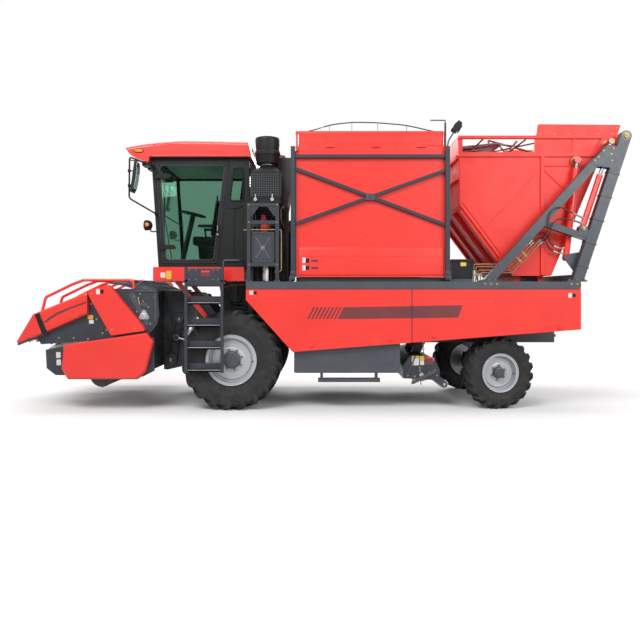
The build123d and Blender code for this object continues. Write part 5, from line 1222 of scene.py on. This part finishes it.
# Below the cab: gearbox housing with ribs and covers between the chassis rails, and a pipe
p = Piece("gear_case", "dark")
p.knob(-1390, 1600, 330, 378, [(0, 120), (0.6, 120), (0.65, 96), (1, 90)], 36)
p.knob(-1290, 1420, 330, 372, [(0, 70), (0.6, 70), (0.65, 50), (1, 44)], 32)
p.bolts([(-1390 + dx, 1600 + dz) for dx, dz in polar(8, 106)], 358, 9, 8)
p.mirrored()
p.prism([(-1560, 1300), (-1580, 1700), (-1540, 1815), (-1200, 1815), (-1186, 1420), (-1260, 1300)], -335, 335)
for x in range(-1540, -1200, 56):
    p.box((x, -346, 1330), (x + 12, 346, 1806))
p.done(3, 30)
p = Piece("under_cab_pipe", "brass")
p.tube([(-1560, -600, 1720), (-1400, -600, 1770), (-1180, -600, 1776)], 8, 8, bend=40)
p.done(0, 60)

# Deck: bearers under the ear bin with their brackets, tread ribs and the cover of the valve box
p = Piece("bin_bearers", "dark")
for y in (-1090, 1070):
    p.box((-420, y, 1812), (1690, y + 18, 1872))
    for x in range(-380, 1690, 290):
        p.box((x, y - 12, 1812), (x + 60, y + 30, 1856))
        p.bolt((x + 30, y - 12, 1838), (0, -1, 0), 8, 8)
p.done(2)
p = Piece("deck_tread_ribs", "slate")
for x in range(2430, 3390, 64):
    p.box((x, -930, 1809), (x + 16, 930, 1814))
for x in range(-400, 1700, 100):
    p.box((x, -1040, 1809), (x + 20, 1040, 1814))
p.done(1)
p = Piece("valve_box_cover", "plastic", slot="moulded_plastic")
p.box((1782, -1108, 2100), (2088, -692, 2128))
p.box((1790, -1104, 1850), (2080, -1098, 2098))
for x in (1790, 2056):
    p.box((x, -1108, 1850), (x + 24, -1103, 2098))
p.done(4, 30)

# Stubble shredder: plates, arm, bolts and chains on the hood
SHREDDER_BOLTS = [(1346, 579), (1271, 458), (1481, 512), (1560, 548), (1400, 400), (1250, 640), (1540, 690),
                  (1170, 470), (1346, 540), (1590, 470)]
p = Piece("shredder_plates", "slate")
p.prism([(1216, 352), (1236, 396), (1560, 556), (1576, 520), (1260, 350)], SHREDDER_FACE, SHREDDER_FACE + 18)
p.prism([(1130, 420), (1150, 430), (1290, 742), (1270, 746)], SHREDDER_FACE, SHREDDER_FACE + 10)
p.mirrored()
p.done(2, 30)
p = Piece("shredder_bolts", "zinc")
p.bolts(SHREDDER_BOLTS, SHREDDER_FACE, 10, 9)
p.mirrored()
p.done(0.6)
p = Piece("shredder_chains", "steel")
link = [(13 * c, 24 * s) for c, s in polar(12) + polar(12)[:1]]
for y in (-960, 960):
    for k in range(5):
        turn = k % 2
        z = 780 + 36 * k
        p.tube([(1400 + wide * (1 - turn), y + wide * turn, z + high) for wide, high in link], 5, 6)
p.done(0, 60)

# Engine: side screen, radiator screen on the right, exhaust stack, ducts behind the cab and fittings
p = Piece("engine_side_screen", "dark")
p.box((-1110, -706, 1812), (-1092, -690, 2900))
p.box((-566, -706, 1812), (-548, -690, 2900))
p.box((-1110, -706, 2884), (-548, -690, 2900))
p.box((-1092, -694, 1812), (-566, -690, 2884))
for z in range(1840, 2880, 40):
    p.prism_x([(-706, z), (-694, z + 26), (-690, z + 26), (-702, z)], -1092, -566)
for x in (-940, -750):
    p.box((x, -712, 1812), (x + 16, -700, 2890))
p.done(1.5)
p = Piece("radiator_screen", "dark")
for x in (-1046, -570):
    p.box((x, 1150, 1816), (x + 26, 1164, 2896))
for z in (2870, 1816):
    p.box((-1046, 1150, z), (-544, 1164, z + 26))
for z in range(1850, 2868, 24):
    p.box((-1020, 1152, z), (-570, 1158, z + 8))
for x in range(-1010, -572, 38):
    p.box((x, 1154, 1842), (x + 6, 1160, 2870))
p.box((-1046, 962, 2896), (-544, 1148, 2906))
p.done(1)
p = Piece("exhaust_stack", "steel")
p.tube([(-640, -560, 2560), (-640, -560, 3000), (-690, -590, 3480), (-640, -600, 3700)], 44, 18, bend=90)
p.ring((-640, -560, 2600), (-640, -560, 2960), [(0, 50), (0.06, 92), (0.94, 92), (1, 50)], 32)
p.done(0, 40)
p = Piece("cab_rear_duct", "dark")
p.box((-1114, -700, 2040), (-1030, -120, 3540))
for z in range(2080, 3420, 60):
    p.box((-1030, -640, z), (-1018, -140, z + 18))
p.box((-1114, 120, 2040), (-1060, 660, 3340))
for z in range(2080, 3320, 60):
    p.box((-1060, 140, z), (-1050, 640, z + 18))
p.done(3)
p = Piece("engine_fittings", "iron")
for x in range(-1000, -600, 78):
    p.box((x, 120, 2600), (x + 56, 820, 2640))
    p.ring((x + 28, 300, 2640), (x + 28, 300, 2672), [(0, 18), (0.6, 18), (1, 10)], 12)
p.knob(-800, 2150, 40, 60, [(0, 150), (1, 150)], 36)
p.knob(-800, 2150, 12, 40, [(0, 110), (0.4, 110), (0.5, 90), (1, 90)], 36)
p.done(3, 30)

# Cab floor mat with ribs
p = Piece("cab_floor_mat", "inside")
p.box((-2440, -765, 2026.5), (-1185, 765, 2034))
for y in range(-740, 760, 40):
    p.box((-2420, y, 2033), (-1900, y + 18, 2038))
p.done(1.5)

# Tail lamps on the rear edge of the deck, amber outside and red inside
p = Piece("tail_lamp_cases", "plastic")
p.box((3536, 940, 1722), (3570, 1170, 1802))
p.box((3566, 934, 1716), (3576, 1176, 1808))
p.mirrored()
p.done(4, 30)
for name, paint, near, far in (("tail_lamp_lenses", "red", 948, 1049), ("tail_turn_lenses", "amber", 1061, 1162)):
    p = Piece(name, paint, slot="lamp_lens")
    p.box((3570, near, 1728), (3590, far, 1796))
    for z in (1740, 1756, 1772):
        p.box((3588, near + 8, z), (3594, far - 8, z + 8))
    p.mirrored()
    p.done(3, 30)
